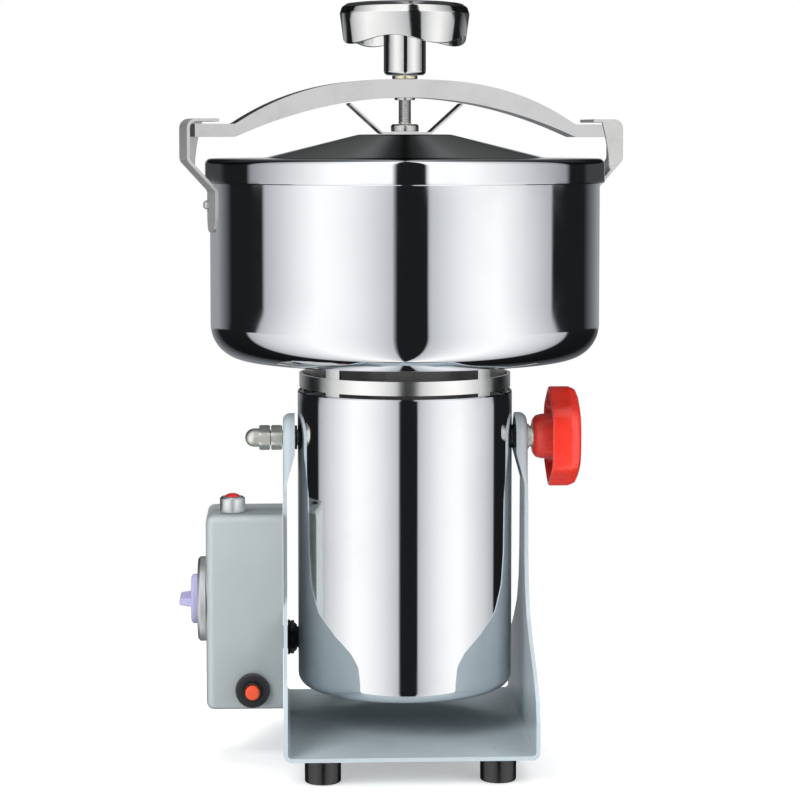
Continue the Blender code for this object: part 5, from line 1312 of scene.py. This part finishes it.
def build_arm():
    satin = brushed_steel("arm_satin", (0.56, 0.56, 0.565), 0.20, 0.30, (60.0, 2500.0, 2500.0), 1e-6, 40.0)
    count = 120
    xs = [ARM_SPAN * (2 * i / count - 1) for i in range(count + 1)]
    outline = [(x, arm_section(x)[1]) for x in xs] + [(x, arm_section(x)[0]) for x in reversed(xs)]
    bore = 0.00445
    under = ARM_TOP - ARM_THICK
    steps = [("UNION", cylinder(0.0065, under - 0.0015, under + 0.004)),
             ("DIFFERENCE", cylinder(bore, ARM_TOP - 0.03, ARM_TOP + 0.01, steps=48))]
    arm = shaped(prism(outline, -0.009, 0.009, "XZ"), steps)
    arm.transform(Matrix.Rotation(HOOK_TURN, 4, "Z"))
    new_piece("arm_satin_bar", arm, "arm", satin, ["clamp_arm"], 30, 0.0009)
    low, high = span("knob_washer", 2)
    brass = turned_steel("washer_brass", (0.78, 0.73, 0.52), 0.26, 0.38, (0, 0, low), (0, 0, 1), 4500.0)
    washer = rounded([(bore, low), (0.0081, low), (0.0081, high), (bore, high)], 0.0004)
    new_piece("washer_turned", turned(washer, ROUND), "arm", brass, ["knob_washer"])


def build_clamp_screw():
    low = span("clamp_spindle", 2)[0]
    foot_top = span("lid_boss", 2)[1] + GAP
    screw_top = ARM_TOP + 0.004
    foot, chamfer = 0.0029, 0.0004
    profile = [(0, low), (foot - chamfer, low), (foot, low + chamfer), (foot, foot_top), (0, foot_top)]
    spindle = turned(profile, 40)
    join_bm(spindle, threaded(0.00415, foot_top, screw_top, sizes().thread_pitch, 0.00055, None, 40))
    satin = steel("spindle_steel", (0.58, 0.57, 0.55), 0.24, 0.36, smudge_scale=120.0)
    new_piece("spindle_threaded", spindle, "clamp_screw", satin, ["clamp_spindle"], 60)
    build_clamp_knob()


def build_clamp_knob():
    hub, rim, lobes, turn = 0.0134, 0.0431, 4, 30.5
    hub_low = span("clamp_knob", 2)[0]
    edge, rise = KNOB_TOP - 0.0267, 0.0052
    inner = rim - 0.005
    ceiling = KNOB_TOP - 0.005
    bore, bore_end = 0.0045, KNOB_TOP - 0.010
    profile = [(bore, hub_low), (hub - 0.0016, hub_low), (hub, hub_low + 0.0016), (hub, edge + 0.004),
               (hub + 0.0015, ceiling), (inner - 0.006, ceiling), (inner, ceiling - 0.006), (inner, edge),
               (rim - 0.0026, edge), (rim, KNOB_TOP - 0.007), (rim - 0.0015, KNOB_TOP - 0.003),
               (rim - 0.005, KNOB_TOP - 0.0008), (rim - 0.012, KNOB_TOP), (0, KNOB_TOP), (0, bore_end),
               (bore, bore_end)]
    knob = turned(rounded(profile, 0.0022, 6), 252)
    for vert in knob.verts:
        share = 1 - (vert.co.z - edge) / 0.010
        if share > 0 and polar(vert.co)[0] > hub + 0.004:
            vert.co.z += rise * valley(vert.co, lobes, turn) * share
    knob = lobed(knob, lobes, 0.06, hub + 0.004, rim, turn)
    turns = [360 / lobes * i + turn for i in range(lobes)]
    webs = [rib(hub - 0.002, rim - 0.004, edge + 0.008, ceiling + 0.001, degrees) for degrees in turns]
    knob = shaped(knob, [("UNION", each) for each in webs])
    chrome = steel("knob_chrome", (0.78, 0.78, 0.77), 0.07, 0.16,
                   ("Orange Peel", {"Scale": 160.0, "Grain": 0.1}), 2e-5, 30.0)
    new_piece("clamp_knob_plated", knob, "clamp_screw", chrome, ["clamp_knob"], 35)


# Pieces inside, which keep their solid shapes

def dress_inside():
    axis = (0, 0, 0)
    up = (0, 0, 1)
    ground = turned_steel("bearing_ground", (0.62, 0.62, 0.62), 0.18, 0.3, axis, up, 6000.0)
    blade_steel = brushed_steel("blade_ground", (0.62, 0.62, 0.60), 0.26, 0.4, (1800.0, 1800.0, 90.0),
                                2e-6, 50.0)
    zinc = turned_steel("inner_zinc", (0.60, 0.60, 0.55), 0.3, 0.42, axis, up, 3000.0)
    black = moulded("inner_black", (0.022, 0.022, 0.024), 0.45, 1200.0)
    laminated = brushed_steel("lamination_stack", (0.34, 0.34, 0.35), 0.42, 0.55, (40.0, 40.0, 2400.0),
                              2e-5, 60.0)
    copper = turned_steel("commutator_copper", (0.72, 0.33, 0.16), 0.3, 0.42, axis, up, 3500.0)
    carbon = moulded("brush_carbon", (0.04, 0.04, 0.042), 0.65, 2500.0, 5e-6)
    silicone = moulded("seal_silicone", (0.66, 0.66, 0.64), 0.5, 1000.0)
    finishes = {
        "upper_bearing": ground, "lower_bearing": ground, "motor_shaft": ground, "timer_shaft": zinc,
        "blade_nut": zinc, "box_base_plate": zinc, "toothed_liner": blade_steel, "lower_blade": blade_steel,
        "middle_blade": blade_steel, "upper_blade": blade_steel, "cooling_fan": black, "timer_case": black,
        "stator": laminated, "armature": laminated, "commutator": copper, "left_brush": carbon,
        "right_brush": carbon, "shaft_seal": silicone,
    }
    for node, finish in finishes.items():
        dress(node, finish)


# Stage

CAMERA = (-0.0770, -1.5810, 0.3921)
PITCH = 85.91
TURN = -2.678
LENS = 111.9
SHIFT_Y = -0.10
# The studio that shiny pieces reflect, by azimuth in degrees from the camera: a white panel at each side, black flags
# between and beside them, and a dim wall behind the grinder. A panel is (inner edge, brightest place, outer edge).
BLACK = 0.014
PANEL_EDGE = 1.2
PANEL_INNER, PANEL_BRIGHTEST, PANEL_OUTER = 0.60, 1.19, 0.52
PANEL_STEPS = 5
LEFT_PANEL = (-8.0, -54.0, -93.5)
RIGHT_PANEL = (10.2, 53.0, 93.0)
WALL = ((-180, 0.36), (-146, 0.36), (-125, BLACK), (127, BLACK), (157, 0.36))
# At and above the height of the camera, where the lid's rim looks, each panel is even up to its middle place and
# fades from there, and a strip lamp with a thin gap hangs on a darker wall
UPPER_BRIGHTEST, UPPER_OUTER, UPPER_FADE = 1.21, 0.35, 4.0
UPPER_LEFT_PANEL = (-8.0, -44.0, -104.0)
UPPER_RIGHT_PANEL = (9.0, 33.0, 105.0)
DARK_WALL, STRIP, GAP_IN_STRIP = 0.06, 0.47, 0.004
UPPER_WALL = ((-180, STRIP), (-175, STRIP), (-165, DARK_WALL), (-135, DARK_WALL), (-127, BLACK),
              (120, BLACK), (126, DARK_WALL), (163, DARK_WALL), (169, STRIP), (174.7, STRIP),
              (176.1, GAP_IN_STRIP), (178.3, GAP_IN_STRIP), (179.7, STRIP))


def side_panel(inner, brightest, outer):
    """Stops of a white panel that falls off gently towards the middle and straight towards its outer edge."""
    side = math.copysign(1.0, outer)
    start = inner + side * PANEL_EDGE
    stops = [(inner, BLACK), (outer - side * PANEL_EDGE, PANEL_OUTER), (outer, BLACK)]
    for step in range(PANEL_STEPS + 1):
        part = step / PANEL_STEPS
        value = PANEL_INNER + (PANEL_BRIGHTEST - PANEL_INNER) * math.sin(part * math.pi / 2)
        stops.append((start + (brightest - start) * part, value))
    return stops


def even_panel(inner, middle_place, outer):
    """Stops of a white panel that is even up to its middle place and fades towards its outer edge."""
    side = math.copysign(1.0, outer)
    return [(inner, BLACK), (inner + side * PANEL_EDGE, UPPER_BRIGHTEST), (middle_place, UPPER_BRIGHTEST),
            (outer - side * UPPER_FADE, UPPER_OUTER), (outer, BLACK)]


def panel_ramp(tree, azimuth, panels):
    """Brightness of the panels round the grinder, cool where they are dim."""
    ramp = tree.nodes.new("ShaderNodeValToRGB")
    tree.links.new(remap(tree, azimuth, -math.pi, math.pi, 0.0, 1.0), ramp.inputs[0])
    stops = []
    for degrees, value in sorted(panels):
        cool = 0.04 * max(0.0, 1.1 - value)
        colour = (value * (1 - cool * 1.6), value * (1 - cool * 0.4), value * (1 + cool))
        stops.append(((degrees + 180) / 360, colour))
    fill_ramp(ramp.color_ramp, stops)
    return ramp.outputs[0]


def build_world():
    """White to the camera, studio panels to shiny pieces, and even light to the rest."""
    world = bpy.data.worlds.new("studio")
    bpy.context.scene.world = world
    world.use_nodes = True
    tree = world.node_tree
    tree.nodes.clear()
    output = tree.nodes.new("ShaderNodeOutputWorld")
    direction = tree.nodes.new("ShaderNodeTexCoord").outputs["Generated"]
    axes = tree.nodes.new("ShaderNodeSeparateXYZ")
    tree.links.new(direction, axes.inputs[0])
    toward = maths(tree, "MULTIPLY", axes.outputs[1], -1.0)
    azimuth = maths(tree, "ARCTAN2", axes.outputs[0], toward)
    # The side flags stand wider apart below, where the motor casing looks
    below = remap(tree, axes.outputs[2], -0.105, -0.085, 0.14, 0.0)
    wide = maths(tree, "MULTIPLY", maths(tree, "ABSOLUTE", azimuth), 0.637)
    closer = maths(tree, "SUBTRACT", 1.0, maths(tree, "MULTIPLY", below, maths(tree, "MINIMUM", wide, 1.0)))
    lower_stops = side_panel(*LEFT_PANEL) + side_panel(*RIGHT_PANEL) + list(WALL)
    upper_stops = even_panel(*UPPER_LEFT_PANEL) + even_panel(*UPPER_RIGHT_PANEL) + list(UPPER_WALL)
    lower = panel_ramp(tree, maths(tree, "MULTIPLY", azimuth, closer), lower_stops)
    upper = panel_ramp(tree, azimuth, upper_stops)
    bands = mix_colour(tree, remap(tree, axes.outputs[2], -0.0168, -0.0150, 0.0, 1.0), lower, upper)
    above = tree.nodes.new("ShaderNodeValToRGB")
    tree.links.new(remap(tree, axes.outputs[2], -1.0, 1.0, 0.0, 1.0), above.inputs[0])
    fill_ramp(above.color_ramp, [(0.0, (0.30, 0.30, 0.31)), (0.40, (0.75, 0.76, 0.78)), (0.47, (1, 1, 1)),
                                 (0.535, (1, 1, 1)), (0.56, (0.10, 0.10, 0.10)), (0.70, (0.20, 0.20, 0.19)),
                                 (0.80, (0.85, 0.85, 0.85)), (1.0, (0.95, 0.95, 0.95))])
    # The dim stretch above the horizon lies behind the grinder; in front and at the sides the panels go on up
    behind = remap(tree, axes.outputs[1], 0.10, 0.55, 0.0, 1.0)
    lift = mix_colour(tree, behind, (1, 1, 1, 1), above.outputs[0])
    white = (1.0, 1.0, 1.0, 1.0)
    even = background(tree, white, 0.42)
    studio = background(tree, mix_colour(tree, 1.0, bands, lift, "MULTIPLY"), 1.0)
    glossy, seen = rays(tree)
    lit = mix_shader(tree, glossy, even, studio)
    tree.links.new(mix_shader(tree, seen, lit, background(tree, white, 1.0)), output.inputs[0])


def background(tree, colour, strength):
    node = tree.nodes.new("ShaderNodeBackground")
    feed(tree, node.inputs["Color"], colour)
    feed(tree, node.inputs["Strength"], strength)
    return node.outputs[0]


def mix_shader(tree, factor, first, second):
    node = tree.nodes.new("ShaderNodeMixShader")
    for socket, value in zip(node.inputs, (factor, first, second)):
        feed(tree, socket, value)
    return node.outputs[0]


def rays(tree):
    """Whether a ray is a reflection, and whether it comes from the camera, straight or through a lens."""
    given = tree.nodes.new("ShaderNodeLightPath").outputs
    seen = maths(tree, "MAXIMUM", given["Is Camera Ray"], given["Is Transmission Ray"])
    return given["Is Glossy Ray"], seen


def fill_ramp(ramp, stops):
    """Set the stops of a colour ramp from (place, colour) pairs."""
    while len(ramp.elements) > 1:
        ramp.elements.remove(ramp.elements[0])
    ramp.elements[0].position = stops[0][0]
    ramp.elements[0].color = (*stops[0][1], 1.0)
    for place, colour in stops[1:]:
        ramp.elements.new(place).color = (*colour, 1.0)


def area_lamp(name, place, target, size, power):
    lamp = bpy.data.lights.new(name, "AREA")
    lamp.shape = "RECTANGLE"
    lamp.size, lamp.size_y = size
    lamp.energy = power
    made = new_object(name, lamp)
    made.location = place
    made.rotation_euler = (Vector(target) - Vector(place)).to_track_quat("-Z", "Y").to_euler()
    made.visible_glossy = False
    made.visible_camera = False
    return made


def build_stage():
    scene = bpy.context.scene
    scene.view_settings.view_transform = "Standard"
    camera_data = bpy.data.cameras.new("camera")
    camera_data.lens = LENS
    camera_data.sensor_width = 36.0
    camera_data.shift_y = SHIFT_Y
    camera_data.clip_end = 50.0
    camera = new_object("camera", camera_data)
    camera.location = CAMERA
    camera.rotation_euler = (math.radians(PITCH), 0, math.radians(TURN))
    scene.camera = camera
    floor_mesh = bpy.data.meshes.new("floor")
    bm = bmesh.new()
    bmesh.ops.create_grid(bm, x_segments=1, y_segments=1, size=6.0)
    bm.to_mesh(floor_mesh)
    bm.free()
    floor = new_object("floor", floor_mesh)
    floor.location = (0, 0, -0.0001)
    floor_mesh.materials.append(floor_material())
    floor.visible_glossy = False
    lamps = [area_lamp("key", (-1.3, -1.7, 1.6), (0, 0, 0.2), (1.2, 1.2), 46.0),
             area_lamp("fill", (1.6, -1.5, 0.9), (0, 0, 0.2), (1.4, 1.4), 20.0),
             area_lamp("top", (0.1, 0.3, 2.0), (0, 0, 0.2), (1.6, 1.6), 30.0)]
    build_world()


def floor_material():
    """A white sweep: white to the camera where nothing shades it, and a soft shadow under the stand."""
    made, tree, shader, place = new_material("white_sweep", (0.80, 0.80, 0.80), 0.9, 0.0, 0.0, 0.0)
    grain = mix_colour(tree, noise(tree, place, 3.0), (0.795, 0.795, 0.795, 1.0), (0.805, 0.805, 0.805, 1.0))
    tree.links.new(grain, shader.inputs["Base Color"])
    _, seen = rays(tree)
    glow = tree.nodes.new("ShaderNodeEmission")
    tree.links.new(maths(tree, "MULTIPLY", seen, 0.35), glow.inputs["Strength"])
    near = tree.nodes.new("ShaderNodeAddShader")
    tree.links.new(shader.outputs[0], near.inputs[0])
    tree.links.new(glow.outputs[0], near.inputs[1])
    white = tree.nodes.new("ShaderNodeEmission")
    far = remap(tree, vector_maths(tree, "LENGTH", place, None, 1), 0.22, 0.55, 0.0, 1.0)
    blend = mix_shader(tree, maths(tree, "MULTIPLY", far, seen), near.outputs[0], white.outputs[0])
    output = next(node for node in tree.nodes if node.type == "OUTPUT_MATERIAL")
    tree.links.new(blend, output.inputs["Surface"])
    return made


# Operators

def done(name):
    """Say that an operator finished, or stop with an error if its piece is missing."""
    if name not in bpy.data.objects:
        raise RuntimeError("The piece " + name + " was not made")
    return {"FINISHED"}


class GRINDER_OT_stage(bpy.types.Operator):
    """Set up the camera, the floor and the light"""
    bl_idname = "grinder.stage"
    bl_label = "Stage"

    def execute(self, context):
        make_groups()
        build_stage()
        return done("floor")


class GRINDER_OT_stand(bpy.types.Operator):
    """Make the enamelled stand and its rubber feet"""
    bl_idname = "grinder.stand"
    bl_label = "Stand and feet"

    def execute(self, context):
        build_stand()
        build_feet()
        return done("stand_enamelled")


class GRINDER_OT_control_box(bpy.types.Operator):
    """Make the control box with its timer, lamp, breaker and mains gland"""
    bl_idname = "grinder.control_box"
    bl_label = "Control box"

    def execute(self, context):
        build_box()
        build_timer()
        build_lamp()
        build_breaker()
        build_mains_gland()
        return done("box_cover_enamelled")


class GRINDER_OT_pivots(bpy.types.Operator):
    """Make the studs, nuts and spacers of the tilt axis, and the lock knob"""
    bl_idname = "grinder.pivots"
    bl_label = "Pivots and lock knob"

    def execute(self, context):
        build_pivots()
        build_lock_knob()
        return done("lock_knob_moulded")


class GRINDER_OT_casing(bpy.types.Operator):
    """Make the polished motor casing and the neck above it"""
    bl_idname = "grinder.casing"
    bl_label = "Motor casing"

    def execute(self, context):
        build_casing()
        return done("motor_shell_polished")


class GRINDER_OT_conduit(bpy.types.Operator):
    """Make the corrugated conduit and its two glands"""
    bl_idname = "grinder.conduit"
    bl_label = "Conduit"

    def execute(self, context):
        build_conduit()
        return done("conduit_corrugated")


class GRINDER_OT_pot(bpy.types.Operator):
    """Make the polished pot and its two hook clips"""
    bl_idname = "grinder.pot"
    bl_label = "Pot and hooks"

    def execute(self, context):
        build_pot()
        return done("pot_polished")


class GRINDER_OT_lid(bpy.types.Operator):
    """Make the lid with its boss and leaf-spring stay"""
    bl_idname = "grinder.lid"
    bl_label = "Lid"

    def execute(self, context):
        build_lid()
        return done("lid_spun")


class GRINDER_OT_clamp(bpy.types.Operator):
    """Make the clamp arm, its washer, the threaded spindle and the star knob"""
    bl_idname = "grinder.clamp"
    bl_label = "Clamp"

    def execute(self, context):
        build_arm()
        build_clamp_screw()
        return done("clamp_knob_plated")


class GRINDER_OT_inside(bpy.types.Operator):
    """Give the motor, blades and other inner pieces their finishes"""
    bl_idname = "grinder.inside"
    bl_label = "Inner pieces"

    def execute(self, context):
        dress_inside()
        return {"FINISHED"}


STEPS = (GRINDER_OT_stage, GRINDER_OT_stand, GRINDER_OT_control_box, GRINDER_OT_pivots, GRINDER_OT_casing,
         GRINDER_OT_conduit, GRINDER_OT_pot, GRINDER_OT_lid, GRINDER_OT_clamp, GRINDER_OT_inside)


class GRINDER_PT_panel(bpy.types.Panel):
    """Lists the steps that dress the grinder"""
    bl_idname = "GRINDER_PT_panel"
    bl_label = "Grain Grinder"
    bl_space_type = "VIEW_3D"
    bl_region_type = "UI"
    bl_category = "Grinder"

    def draw(self, context):
        column = self.layout.column()
        for step in STEPS:
            column.operator(step.bl_idname)
        for settings in (context.scene.grinder_sizes, context.scene.grinder_colours):
            for label in settings.__annotations__:
                column.prop(settings, label)


CLASSES = (GrinderSizes, GrinderColours, *STEPS, GRINDER_PT_panel)


def register():
    for cls in CLASSES:
        bpy.utils.register_class(cls)
    bpy.types.Scene.grinder_sizes = PointerProperty(type=GrinderSizes)
    bpy.types.Scene.grinder_colours = PointerProperty(type=GrinderColours)


def unregister():
    del bpy.types.Scene.grinder_colours
    del bpy.types.Scene.grinder_sizes
    for cls in reversed(CLASSES):
        bpy.utils.unregister_class(cls)


def main():
    register()
    bpy.ops.grinder.stage()
    bpy.ops.grinder.stand()
    bpy.ops.grinder.control_box()
    bpy.ops.grinder.pivots()
    bpy.ops.grinder.casing()
    bpy.ops.grinder.conduit()
    bpy.ops.grinder.pot()
    bpy.ops.grinder.lid()
    bpy.ops.grinder.clamp()
    bpy.ops.grinder.inside()


if __name__ == "__main__":
    main()
